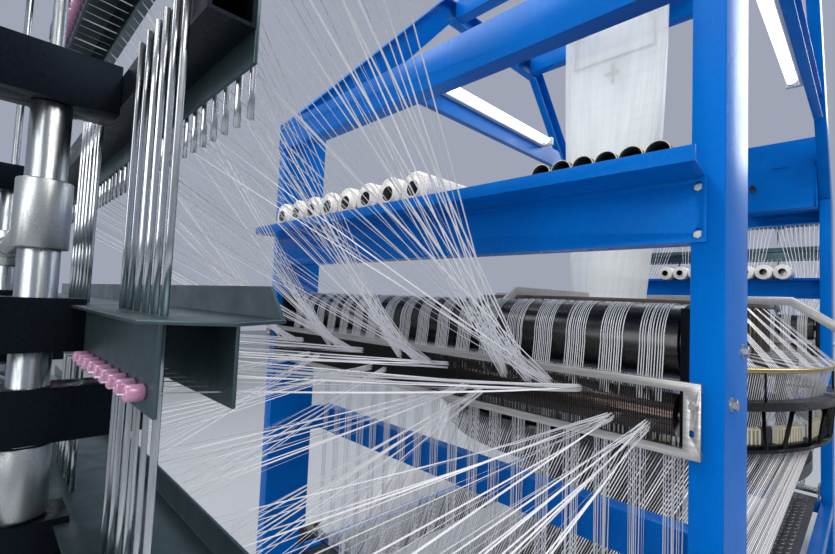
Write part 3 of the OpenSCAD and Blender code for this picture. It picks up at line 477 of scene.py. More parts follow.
class Polymer(Enum):
    """Plastics, rubber, ceramic and glass."""

    # Ground rubber that film has polished: black with a broad soft gleam.
    RUBBER = Finish("ground_nitrile_rubber", "#0C0C0D", "#171716", 0.27, 0.0, 2.0, 0.008, 0.08)
    # Drawn film: white and silky, bright where it turns flat to a lamp.
    TAPE = FilmTape(
        "drawn_polypropylene_tape", "#F2F2F5", "#BFC1C8", 0.3, 0.0, 1.2, 0.01, 0.08, EVEN,
        {"Specular IOR Level": 0.6},
    )
    # Wound film: warm white with the crossing ridges of the winding.
    BOBBIN = WoundTape("cross_wound_tape", "#F6F4F0", "#D5D0C9", 0.42, 0.0, 3.0, 0.25, 0.1)
    # One layer of open weave: white and see-through, so that the spreader shows as a faint shadow.
    CLOTH = WovenCloth(
        "woven_polypropylene_cloth", "#FAFCFC", "#DFE5E6", 0.42, 0.0, 2.5, 0.12, 0.08, EVEN,
        {"Alpha": 0.42},
    )
    # Many layers of the same weave: the white closes up.
    WOUND_CLOTH = WovenCloth("wound_polypropylene_cloth", "#EDEFEF", "#C9CFCF", 0.45, 0.0, 2.5, 0.12, 0.08)
    # Moulded tube: even black with a soft edge of light.
    CORE = Finish("black_moulded_polypropylene", "#121212", "#1E1E1E", 0.35, 0.0, 2.0, 0.03, 0.08)
    # Moulded nylon: warm cream, half dull.
    CREAM = Finish("cream_moulded_nylon", "#E4DCC6", "#C8BDA0", 0.42, 0.0, 3.0, 0.04, 0.1)
    # Sawn paper laminate: brown with upright fibres.
    REED = Finish("brown_phenolic_laminate", "#4A423A", "#2B2622", 0.38, 0.0, 2.5, 0.04, 0.1, (1, 1, 0.1))
    # Fired and glazed ceramic: lilac pink with a wet point of light.
    CERAMIC = Finish(
        "pink_alumina_ceramic", "#C792B4", "#A06C90", 0.22, 0.0, 1.0, 0.01, 0.06, EVEN,
        {"Coat Weight": 0.5},
    )
    # Moulded nylon of the shuttles: strong warm yellow.
    YELLOW = Finish("yellow_moulded_nylon", "#D9A52B", "#B98418", 0.4, 0.0, 2.0, 0.03, 0.1)
    # Phosphor behind glass: pure white that glows.
    LIT = LitTube("lit_phosphor_glass", "#FFFFFF", "#EEF4FA", 0.2, 0.0, 6.0, 0.005, 0.05)


# Mesh builders


def make_piece(
    name: str,
    points: Array,
    faces: Sequence[Sequence[int]] | Array,
    finish: Enum | Finish,
    smooth: bool = True,
) -> bpy.types.Object:
    """Makes a mesh object at the origin from whole arrays.

    Args:
        name: name of the object.
        points: n by 3 array of places in metres.
        faces: index lists, or an array with one face a row.
        finish: finish that it is dressed in.
        smooth: whether faces are shaded smooth.

    Returns:
        The new object, linked to the scene.
    """
    mesh = bpy.data.meshes.new(name)
    rows = faces.tolist() if isinstance(faces, np.ndarray) else faces
    mesh.from_pydata(np.asarray(points, float).reshape(-1, 3).tolist(), [], rows)
    mesh.polygons.foreach_set("use_smooth", np.full(len(mesh.polygons), smooth))
    mesh.update()
    piece = bpy.data.objects.new(name, mesh)
    bpy.context.scene.collection.objects.link(piece)
    dress(piece, finish)
    return piece


def dress(piece: bpy.types.Object, finish: Enum | Finish) -> None:
    """Gives a piece one finish in place of what it wears.

    Args:
        piece: object that is dressed.
        finish: its new finish.
    """
    material = (finish.value if isinstance(finish, Enum) else finish).build()
    if piece.material_slots:
        for slot in piece.material_slots:
            slot.material = material
    else:
        piece.data.materials.append(material)


def place_on(piece: bpy.types.Object, body: str, slot: str, *nodes: str) -> bpy.types.Object:
    """Lets a piece ride on a body and hides the nodes it stands for.

    Args:
        piece: new piece.
        body: body that it rides on.
        slot: material slot, not used.
        *nodes: CAD nodes that it replaces, none if it only adds to them.

    Returns:
        The same piece.
    """
    if nodes:
        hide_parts(*nodes)
    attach(piece, body)
    LOG.info("%s: %d vertices on %s", piece.name, len(piece.data.vertices), body)
    return piece


def write_tone(piece: bpy.types.Object, tone: Array) -> None:
    """Keeps one tone a point on the piece, which the tape's finish reads."""
    layer = piece.data.attributes.new("tone", "FLOAT", "POINT")
    layer.data.foreach_set("value", tone.astype(np.float32))


def write_uv(piece: bpy.types.Object, uv: Array) -> None:
    """Writes one UV pair a point, in metres, to every corner of the piece.

    Args:
        piece: piece without a UV map.
        uv: n by 2 array, one row for each point.
    """
    layer = piece.data.uv_layers.new(name="UVMap")
    loops = np.empty(len(piece.data.loops), np.int32)
    piece.data.loops.foreach_get("vertex_index", loops)
    layer.data.foreach_set("uv", uv[loops].astype(np.float32).ravel())


def grid_faces(rows: int, columns: int, wrap: bool = False) -> Array:
    """Gives the quads of a grid of points.

    Args:
        rows: number of rows of points.
        columns: points in a row.
        wrap: whether the last column joins the first.

    Returns:
        Index array with one quad a row.
    """
    row = np.arange(rows - 1)[:, None] * columns
    first = np.arange(columns if wrap else columns - 1)[None, :]
    after = (first + 1) % columns
    corners = [row + first, row + after, row + columns + after, row + columns + first]
    return np.stack(corners, -1).reshape(-1, 4)


def spun(profile: Array, centre: Sequence[float], axis: int, steps: int) -> tuple[Array, Array]:
    """Turns a closed profile of (radius, place along the axis) once round an axis.

    A point at angle a lies at centre + r cos a along the next axis + r sin a along the one after it.

    Args:
        profile: m by 2 closed outline, anticlockwise when the radius is drawn to the right.
        centre: point on the axis.
        axis: 0, 1 or 2 for X, Y or Z.
        steps: number of steps round.

    Returns:
        Points and quads of the closed skin.
    """
    angle = np.linspace(0, 2 * np.pi, steps, endpoint=False)
    points = np.zeros((steps, len(profile), 3))
    points[..., axis] = profile[None, :, 1]
    points[..., (axis + 1) % 3] = profile[None, :, 0] * np.cos(angle)[:, None]
    points[..., (axis + 2) % 3] = profile[None, :, 0] * np.sin(angle)[:, None]
    ring = grid_faces(steps + 1, len(profile), True) % (steps * len(profile))
    return points.reshape(-1, 3) + np.asarray(centre), ring


def spun_uv(profile: Array, steps: int, girth: float) -> Array:
    """Gives the UV of a spun form in metres: u runs round the girth and v along the profile."""
    run = np.cumsum(np.r_[0, np.linalg.norm(np.diff(profile, axis=0), axis=1)])
    return np.stack(np.meshgrid(np.arange(steps) / steps * girth, run, indexing="ij"), -1).reshape(-1, 2)


def about_z(angle: Array) -> Array:
    """Gives a matrix for each angle a, with the rows (cos a, −sin a, 0), (sin a, cos a, 0), (0, 0, 1).

    Args:
        angle: angles in radians.

    Returns:
        k by 3 by 3 array.
    """
    turns = np.zeros((len(angle), 3, 3))
    turns[:, 0, 0] = turns[:, 1, 1] = np.cos(angle)
    turns[:, 0, 1], turns[:, 1, 0] = -np.sin(angle), np.sin(angle)
    turns[:, 2, 2] = 1
    return turns


def stamped(points: Array, faces: Array, places: Array, turns: Array | None = None) -> tuple[Array, Array]:
    """Copies one small form to many places: every copy is turn times point plus place.

    Args:
        points: points of the form.
        faces: its faces.
        places: k by 3 array, one row for each copy.
        turns: k by 3 by 3 array, none to leave the copies unturned.

    Returns:
        Points and faces of all copies.
    """
    places = np.asarray(places, float).reshape(-1, 3)
    copies = np.broadcast_to(points, (len(places), *points.shape))
    if turns is not None:
        copies = np.einsum("kij,nj->kni", turns, points)
    index = np.asarray(faces)[None] + (np.arange(len(places)) * len(points))[:, None, None]
    return (copies + places[:, None, :]).reshape(-1, 3), index.reshape(-1, faces.shape[1])


def joined(parts: Sequence[tuple[Array, Array]]) -> tuple[Array, list[list[int]]]:
    """Puts several forms into one.

    Args:
        parts: points and faces of each form.

    Returns:
        One array of points and one list of faces.
    """
    points, faces, offset = [], [], 0
    for part_points, part_faces in parts:
        points.append(np.asarray(part_points).reshape(-1, 3))
        faces.extend((np.asarray(part_faces) + offset).tolist())
        offset += len(points[-1])
    return np.concatenate(points), faces


def boxes(corners: Sequence[tuple[Sequence[float], Sequence[float]]]) -> tuple[Array, Array]:
    """Makes upright boxes: each point lies at the low corner plus the unit cube's point times the size.

    Args:
        corners: low and high corner of each box.

    Returns:
        Points and quads of all boxes.
    """
    cube = np.array([(x, y, z) for z in (0, 1) for y in (0, 1) for x in (0, 1)], float)
    sides = np.array([(0, 2, 3, 1), (4, 5, 7, 6), (0, 1, 5, 4), (1, 3, 7, 5), (3, 2, 6, 7), (2, 0, 4, 6)])
    points = np.concatenate([np.array(low) + cube * np.subtract(high, low) for low, high in corners])
    faces = (sides[None] + (np.arange(len(corners)) * len(cube))[:, None, None]).reshape(-1, 4)
    return points, faces


def unit(vectors: Array) -> Array:
    """Scales vectors to length one."""
    return vectors / np.maximum(np.linalg.norm(vectors, axis=-1, keepdims=True), 1e-9)


def tape_solids(paths: Array, sides: Array) -> tuple[Array, Array]:
    """Makes thin flat solids that follow paths.

    At each row the four corners lie at path ± side ± half the film's thickness along the normal, which is
    the path's direction crossed with the side.

    Args:
        paths: tapes by rows by 3 array of the middle lines.
        sides: same shape, from the middle line to one edge.

    Returns:
        Points and quads, with both ends closed.
    """
    count, rows = paths.shape[:2]
    along = unit(np.gradient(paths, axis=1))
    normal = unit(np.cross(along, unit(sides))) * FILM_THICK / 2
    left, right = paths - sides, paths + sides
    corners = np.stack([left - normal, right - normal, right + normal, left + normal], 2)
    walls = grid_faces(rows, 4, True)
    last = (rows - 1) * 4
    caps = np.array([[3, 2, 1, 0], [last, last + 1, last + 2, last + 3]])
    one = np.concatenate([walls, caps])
    index = one[None] + (np.arange(count) * rows * 4)[:, None, None]
    return corners.reshape(-1, 3), index.reshape(-1, 4)


def film(name: str, paths: Array, width: float, twist: Array, tone: Array) -> bpy.types.Object:
    """Makes flat tapes along paths, each turned about its own line and with its own tone.

    The edge direction is the level across-vector turned about the path by twist, so a tape shows its width
    in one stretch and its thin edge in the next, as slack film does. A hair's step along X is added, so that
    an upright path has an across-vector too.

    Args:
        name: name of the piece.
        paths: tapes by rows by 3 array.
        width: width of a tape.
        twist: tapes by rows array of angles in radians.
        tone: tone from 0 to 1 of each tape.

    Returns:
        The new piece.
    """
    along = unit(np.gradient(paths, axis=1))
    level = unit(np.cross(along, np.array([0.0, 0.0, 1.0])) + np.array([1e-6, 0, 0]))
    up = np.cross(level, along)
    sides = (level * np.cos(twist)[..., None] + up * np.sin(twist)[..., None]) * width / 2
    points, faces = tape_solids(paths, sides)
    piece = make_piece(name, points, faces, Polymer.TAPE, False)
    write_tone(piece, np.repeat(tone, paths.shape[1] * 4))
    return piece


def straight(starts: Array, ends: Array, rows: int, sag: Array | float = 0.0) -> Array:
    """Gives paths from starts to ends that hang below the chord by 4 · sag · s · (1 − s).

    Args:
        starts: first point of each path.
        ends: last point of each path.
        rows: number of points on a path.
        sag: depth in the middle, one for all or one for each.

    Returns:
        Paths by rows by 3 array.
    """
    share = np.linspace(0, 1, rows)[None, :, None]
    paths = starts[:, None, :] * (1 - share) + ends[:, None, :] * share
    depth = np.broadcast_to(np.asarray(sag, float), (len(starts),))[:, None]
    paths[..., 2] -= 4 * share[..., 0] * (1 - share[..., 0]) * depth
    return paths


def softened(node: str, finish: Enum, body: str, slot: str, round_mm: float) -> bpy.types.Object:
    """Stands in for a rigid CAD node with a merged copy whose sharp edges are rounded.

    Args:
        node: CAD node that is copied.
        finish: finish of the copy.
        body: body that it rides on.
        slot: material slot.
        round_mm: radius of the rounded edges.

    Returns:
        The new piece.
    """
    shell = bmesh.new()
    shell.from_mesh(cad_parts[node].data)
    bmesh.ops.remove_doubles(shell, verts=shell.verts, dist=MERGE_DISTANCE)
    bmesh.ops.dissolve_limit(
        shell, angle_limit=FLAT_RADIANS, verts=shell.verts, edges=shell.edges, delimit=set()
    )
    mesh = bpy.data.meshes.new(f"{node}_finished")
    shell.to_mesh(mesh)
    shell.free()
    mesh.polygons.foreach_set("use_smooth", np.ones(len(mesh.polygons), bool))
    piece = bpy.data.objects.new(f"{node}_finished", mesh)
    bpy.context.scene.collection.objects.link(piece)
    bevel = piece.modifiers.new("rounded", "BEVEL")
    bevel.width = round_mm * MM
    bevel.segments = EDGE_FACES
    bevel.limit_method = "ANGLE"
    bevel.angle_limit = np.radians(SHARP_DEGREES)
    bevel.use_clamp_overlap = True
    bevel.harden_normals = True
    dress(piece, finish)
    return place_on(piece, body, slot, node)


# Sub-assemblies


@dataclass
class SheetMetalFrame:
    """Folded and coated sheet: posts, beams, shelves, side frames, box and rails."""

    round_mm: float = 2.6
    fitting_mm: float = 1.0
    blue: tuple[str, ...] = (
        "near_left_post", "near_right_post", "far_left_post", "far_right_post",
        "near_top_beam", "far_top_beam", "near_bobbin_shelf", "far_bobbin_shelf",
        "foot_beams", "side_rails", "cross_rails", "left_side_frame", "right_side_frame",
        "lamp_beams", "tower_cross_beams", "electrical_box",
    )
    fittings: tuple[tuple[str, Enum, str, str], ...] = (
        ("box_door", Coat.AZURE, "door", "blue_powder_coat"),
        ("door_handle", Coat.BLACK, "latch", "black_paint"),
        ("walkway_treads", Coat.TREAD, "root", "tread_steel"),
        ("lamp_holders", Coat.WHITE, "root", "lamp_fitting"),
    )

    def build(self) -> None:
        """Rounds the folds of each coated node, and of the fittings on their own bodies."""
        for node in self.blue:
            softened(node, Coat.AZURE, "root", "blue_powder_coat", self.round_mm)
        for node, finish, body, slot in self.fittings:
            softened(node, finish, body, slot, self.fitting_mm)


@dataclass
class CadFinishes:
    """CAD nodes whose own shape is right and that only need their real finish."""

    worn: tuple[tuple[str, Enum], ...] = (
        ("guide_rails", Coat.SATIN_BLACK),
        ("machine_bed", Coat.BED),
        ("gear_motor", Coat.MOTOR),
        ("floor_bars", Metal.SHAFT),
        ("main_shaft", Metal.SHAFT),
        ("lamp_tubes", Polymer.LIT),
    )

    def build(self) -> None:
        """Assigns each finish to the node's own slots."""
        for node, finish in self.worn:
            dress(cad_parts[node], finish)


@dataclass
class RoundParts:
    """Turned, cast and bent parts: rollers, rings, reed, race, stand and take-up."""

    # Node, finish, body, slot and radius of the rounded edges in millimetres.
    parts: tuple[tuple[str, Enum, str, str, float], ...] = (
        ("near_feed_roller", Polymer.RUBBER, "near_feed", "roller_rubber", 1.0),
        ("far_feed_roller", Polymer.RUBBER, "far_feed", "roller_rubber", 1.0),
        ("near_press_roller", Metal.BRONZE, "near_press", "bronze_roller", 0.8),
        ("far_press_roller", Metal.BRONZE, "far_press", "bronze_roller", 0.8),
        ("near_warp_comb", Metal.COMB, "root", "comb_aluminium", 0.35),
        ("far_warp_comb", Metal.COMB, "root", "comb_aluminium", 0.35),
        ("bearing_plates", Coat.SATIN_BLACK, "root", "black_paint", 0.8),
        ("stand_pipes", Metal.PIPE, "root", "bright_steel", 1.0),
        ("pipe_clamps", Metal.CLAMP, "root", "cast_clamp", 2.0),
        ("stand_arms", Coat.SATIN_BLACK, "root", "black_paint", 1.5),
        ("eyelet_rails", Metal.ZINC, "root", "galvanised", 0.8),
        ("tape_ring", Metal.GOLD, "root", "gold_ring", 0.6),
        ("heald_basket", Coat.BLACK, "root", "black_paint", 1.5),
        ("reed_cylinder", Polymer.REED, "root", "reed_brown", 0.4),
        ("shuttle_race", Coat.BED, "root", "bed_paint", 1.0),
        ("ring_bridge", Metal.GUARD, "root", "guard_aluminium", 0.5),
        ("weaving_ring", Metal.GUARD, "root", "guard_aluminium", 0.6),
        ("cloth_spreader", Coat.BLACK, "root", "black_tube", 0.6),
        ("take_up_frame", Coat.AZURE, "root", "blue_powder_coat", 1.0),
        ("nip_roller_front", Polymer.RUBBER, "nip_front", "roller_rubber", 1.0),
        ("nip_roller_back", Polymer.RUBBER, "nip_back", "roller_rubber", 1.0),
        ("shuttles", Polymer.YELLOW, "rotor", "shuttle_body", 1.2),
    )
    leg_top: float = 1.0655

    def build(self) -> None:
        """Makes the merged copy of each part with its finish."""
        for node, finish, body, slot, radius in self.parts:
            piece = softened(node, finish, body, slot, radius)
            if node == "tape_ring":
                self.blacken_legs(piece)

    def blacken_legs(self, ring: bpy.types.Object) -> None:
        """Paints the short legs under the plated ring.

        Args:
            ring: piece whose faces below leg_top are legs.
        """
        ring.data.materials.append(Coat.BLACK.value.build())
        for face in ring.data.polygons:
            face.material_index = int(face.center.z < self.leg_top)


@dataclass
class HealdCombs:
    """Moulded blocks round the basket: a foot and a head bar each, fins between them and teeth on top, with
    a black strip behind the fins as painted shade in the slots.
    """

    count: int = 24
    first: float = 7.5
    radii: tuple[float, float] = (0.700, 0.716)
    half: float = 0.062
    # Foot, top of the foot, underside of the head bar, top of the head bar and tips of the teeth.
    heights: tuple[float, float, float, float, float] = (0.846, 0.8530, 0.8985, 0.9020, 0.906)
    fins: int = 10
    fin: float = 0.0062
    tooth: float = 0.0014
    # Thickness of the black strip behind the fins: a dark sheet put there as painted shade in the slots
    # between them.
    painted_shade_strip: float = 0.0020
    # Inner and outer radius, underside and top of the ring that carries the blocks.
    ring: tuple[float, float, float, float] = (0.700, 0.7287, 0.844, 0.858)
    ring_steps: int = 144

    def block(self) -> tuple[Array, Array]:
        """Makes one block at angle zero.

        Returns:
            Its points and quads.
        """
        inner, outer = self.radii
        foot, low, high, head, top = self.heights
        corners = [((inner, -self.half, foot), (outer, self.half, low))]
        corners.append(((inner, -self.half, high), (outer, self.half, head)))
        for y in np.linspace(-self.half + self.fin / 2, self.half - self.fin / 2, self.fins):
            corners.append(((inner + self.painted_shade_strip, y - self.fin / 2, low), (outer, y + self.fin / 2, high)))
            corners.append(((inner, y - self.tooth / 2, head), (outer, y + self.tooth / 2, top)))
        return boxes(corners)

    def build(self) -> None:
        """Sets the blocks round the basket, backs their fins with a black strip as painted shade, and lays
        the ring that carries them.
        """
        inner, low, high = self.radii[0], self.heights[1], self.heights[2]
        turns = about_z(np.radians(self.first + np.arange(self.count) * 360 / self.count))
        centre = np.zeros((self.count, 3))
        body, quads = stamped(*self.block(), centre, turns)
        piece = make_piece("heald_blocks", body, quads, Polymer.CREAM, False)
        place_on(piece, "root", "heald_cream", "heald_combs")
        # Black strips behind the fins: painted shade that darkens the slots between them.
        painted_shade_strip = boxes([((inner, -self.half, low), (inner + self.painted_shade_strip, self.half, high))])
        body, quads = stamped(*painted_shade_strip, centre, turns)
        place_on(make_piece("heald_painted_shade_strips", body, quads, Coat.SATIN_BLACK, False), "root", "black_paint")
        inner, outer, low, high = self.ring
        profile = np.array([(inner, low), (outer, low), (outer, high), (inner, high)])
        body, quads = spun(profile, (0, 0, 0), 2, self.ring_steps)
        place_on(make_piece("heald_ring", body, quads, Coat.SATIN_BLACK, False), "root", "black_paint")


@dataclass
class CombWires:
    """Thin flat wires of both warp combs, four for each wire of the node."""

    count: int = 361
    first_x: float = -0.6342
    pitch: float = 1.256 / 360
    middle_y: float = -1.2720
    foot_z: float = 1.0295
    size: tuple[float, float, float] = (0.0009, 0.0030, 0.0840)
    out_of_line: float = 0.00015

    def build(self) -> None:
        """Stamps the wires, each a hair out of line. Their ends lie inside the bars and stay open."""
        rng = np.random.default_rng(SEED + 9)
        corner = np.array([(x, y, z) for z in (0, 1) for y in (-0.5, 0.5) for x in (-0.5, 0.5)]) * self.size
        sides = np.array([(0, 1, 5, 4), (1, 3, 7, 5), (3, 2, 6, 7), (2, 0, 4, 6)])
        places = np.full((self.count, 3), (0.0, self.middle_y, self.foot_z))
        wobble = rng.normal(0, self.out_of_line, self.count)
        places[:, 0] = self.first_x + np.arange(self.count) * self.pitch + wobble
        points, faces = stamped(corner, sides, places)
        for side, turn in SIDES:
            piece = make_piece(f"{side}_comb_blades", points * turn, faces, Metal.DARK_WIRE, False)
            place_on(piece, "root", "dark_wire", "comb_wires")


@dataclass
class WarpFans:
    """Tapes from the eyelets of the guide stand through the comb to the feed roller."""

    groups: int = 4
    tapes: int = 12
    eyelet_y: float = -1.968
    knee_y: float = -1.9000
    knee_drop: float = 0.0335
    # From the start of a fan under a bare rail up to where its tape is threaded.
    bare_thread: tuple[float, float, float] = (0, -0.0004, 0.012)
    comb_y: float = -1.2723
    upper_z: float = 1.0915
    lower_z: float = 1.0535
    comb_split: float = 1.127
    wires: int = 90
    wire_first: float = -0.635
    wire_pitch: float = 1.256 / 90
    first_gap: int = 2
    spare_gaps: int = 5
    width: float = 0.0024
    # In a comb gap three tapes lie over one another: their steps across and up, and the most they are off.
    stack: int = 3
    stack_step: tuple[float, float] = (0.0006, 0.005)
    stack_off: float = 0.002
    rows: int = 18
    slack: float = 0.006
    # How far a tape is turned in radians: the most at its start, and the spread of what it gains on the way.
    start_twist: float = 0.5
    gained_twist: float = 1.0
    upright_power: int = 6
    short_rows: int = 4
    press: tuple[float, float] = (-1.200, 1.062)
    press_r: float = 0.0355
    # Angles on the lower roller, in degrees, where tapes of the upper and of the lower row first lie on it.
    touch: tuple[float, float] = (142, 192)
    touch_off: float = 0.001
    tones: tuple[float, float] = (0.6, 1.0)

    def tips(self) -> tuple[Array, Array, Array]:
        """Spreads the groups over the gaps of the comb, level by level.

        Returns:
            Level number, group number and comb point of every group.
        """
        level, group = np.meshgrid(np.arange(len(LEVELS)), np.arange(self.groups), indexing="ij")
        level, group = level.ravel(), group.ravel()
        last = self.groups * len(LEVELS) - 1
        order = group * len(LEVELS) + level
        gap = np.floor(self.first_gap + order * (self.wires - self.spare_gaps) / last)
        x = self.wire_first + (gap + 0.5) * self.wire_pitch
        z = np.where(LEVELS[level] > self.comb_split, self.upper_z, self.lower_z)
        return level, group, np.stack([x, np.full(x.shape, self.comb_y), z], -1)

    def across(self) -> Array:
        """Gives how far each tape of a group lies from the middle of its comb gap."""
        stacks = self.tapes // self.stack
        return (np.arange(self.tapes) // self.stack - (stacks - 1) / 2) * self.wire_pitch / stacks

    def build(self) -> None:
        """Draws the fans, with slack and twist of their own, and the short run from the comb to the roller.

        The twist of a tape grows along it and dies out as 1 − s⁶, while s⁶ brings it upright in the comb.
        """
        rng = np.random.default_rng(SEED)
        level, group, tip = self.tips()
        tape = np.arange(self.tapes)
        layer = tape % self.stack - 1
        starts = np.zeros((len(level), self.tapes, 3))
        starts[..., 0] = EYE_X[(group * self.tapes)[:, None] + tape]
        starts[..., 1] = self.knee_y
        starts[..., 2] = (LEVELS[level] - self.knee_drop)[:, None]
        ends = np.repeat(tip[:, None, :], self.tapes, 1)
        ends[..., 0] += self.across() + layer * self.stack_step[0]
        off = rng.uniform(-self.stack_off, self.stack_off, ends.shape[:2])
        ends[..., 2] += layer * self.stack_step[1] + off
        starts, ends = starts.reshape(-1, 3), ends.reshape(-1, 3)
        fan = straight(starts, ends, self.rows, rng.uniform(0.0, self.slack, len(starts)))
        threaded = starts + (0, self.eyelet_y - self.knee_y, self.knee_drop - EYE_DROP)
        bare = np.isin(np.repeat(level, self.tapes), RAIL_LEVELS)
        threaded[bare] = starts[bare] + self.bare_thread
        fan = np.concatenate([threaded[:, None], fan], 1)
        count, rows = fan.shape[:2]
        along = np.linspace(0, 1, rows)[None]
        upright = along ** self.upright_power
        turn = rng.uniform(-self.start_twist, self.start_twist, (count, 1))
        turn = turn + along * rng.normal(0, self.gained_twist, (count, 1))
        turn = turn * (1 - upright) + upright * np.pi / 2
        short = straight(ends, self.roller_points(tip, rng).reshape(-1, 3), self.short_rows)
        flat = np.full((count, self.short_rows), np.pi / 2)
        for side, place in SIDES:
            tone = rng.uniform(*self.tones, count)
            piece = film(f"{side}_warp_fan", fan * place, self.width, turn, tone)
            place_on(piece, "root", "tape_film", "warp_tapes")
            piece = film(f"{side}_comb_to_roller", short * place, self.width, flat, tone)
            place_on(piece, "root", "tape_film")

    def roller_points(self, tip: Array, rng: np.random.Generator) -> Array:
        """Finds where each tape of a group first lies on the lower roller, straight behind its comb gap.

        Args:
            tip: comb point of every group.
            rng: draws how far a tape is off its line.

        Returns:
            Groups by tapes by 3 array.
        """
        points = np.zeros((len(tip), self.tapes, 3))
        off = rng.uniform(-self.touch_off, self.touch_off, (len(tip), self.tapes))
        points[..., 0] = tip[:, :1] + self.across() + off
        upper = tip[:, 2] > (self.upper_z + self.lower_z) / 2
        angle = np.where(upper, *np.radians(self.touch))[:, None]
        points[..., 1] = self.press[0] + self.press_r * np.cos(angle)
        points[..., 2] = self.press[1] + self.press_r * np.sin(angle)
        return points


@dataclass
class RollerBundles:
    """Bundles of tapes laid side by side over the feed roller and down to the floor bar."""

    count: int = 18
    pitch: float = 0.0675
    width: float = 0.039
    tapes: int = 10
    tape: float = 0.0017
    feed: tuple[float, float] = (-1.150, 1.179)
    radius: float = 0.0660
    # Angle in degrees where the tapes come on to the roller. They leave it at zero.
    lap: float = 187
    lap_rows: int = 26
    lift: tuple[float, float] = (0.0001, 0.0011)
    off: float = 0.0006
    drift: float = 0.0009
    press_point: tuple[float, float] = (-1.2283, 1.0840)
    floor_z: float = 0.362
    fall_rows: int = 12
    gather: float = 0.35
    sway: float = 0.002
    twist: float = 0.9
    tones: tuple[float, float] = (0.35, 1.0)

    def build(self) -> None:
        """Draws every tape round the roller from its front and down, a little out of line with the next."""
        rng = np.random.default_rng(SEED + 1)
        total = self.count * self.tapes
        bundle = np.repeat((np.arange(self.count) - (self.count - 1) / 2) * self.pitch, self.tapes)
        share = np.tile(np.linspace(-0.5, 0.5, self.tapes), self.count)
        x = bundle + share * (self.width - self.tape) + rng.uniform(-self.off, self.off, total)
        angle = np.radians(np.linspace(self.lap, 0, self.lap_rows))
        lift = self.radius + rng.uniform(*self.lift, total)
        arc = np.zeros((total, self.lap_rows + 1, 3))
        arc[:, 0, 1], arc[:, 0, 2] = self.press_point
        arc[:, 1:, 1] = self.feed[0] + lift[:, None] * np.cos(angle)
        arc[:, 1:, 2] = self.feed[1] + lift[:, None] * np.sin(angle)
        drift = rng.normal(0, self.drift, (total, 1))
        arc[..., 0] = x[:, None] + drift * np.linspace(0, 1, arc.shape[1])[None]
        down = np.linspace(0, 1, self.fall_rows)[None]
        fall = np.zeros((total, self.fall_rows, 3))
        gather = share[:, None] * (self.width - self.tape) * -self.gather * down
        fall[..., 0] = arc[:, -1:, 0] + gather + rng.normal(0, self.sway, (total, 1)) * down
        fall[..., 1] = arc[:, -1:, 1]
        fall[..., 2] = self.feed[1] + (self.floor_z - self.feed[1]) * down
        sides = np.zeros_like(arc)
        sides[..., 0] = self.tape / 2
        twist = rng.normal(0, self.twist, (total, 1)) * down
        fall_sides = np.stack([np.cos(twist), np.sin(twist), np.zeros_like(twist)], -1) * self.tape / 2
        for side, turn in SIDES:
            tone = rng.uniform(*self.tones, total)
            parts = [tape_solids(arc * turn, sides * turn), tape_solids(fall * turn, fall_sides * turn)]
            points, faces = joined(parts)
            piece = make_piece(f"{side}_roller_bundles", points, faces, Polymer.TAPE, False)
            write_tone(piece, np.concatenate([np.repeat(tone, form.shape[1] * 4) for form in (arc, fall)]))
            place_on(piece, "root", "tape_film", "tape_bundles")


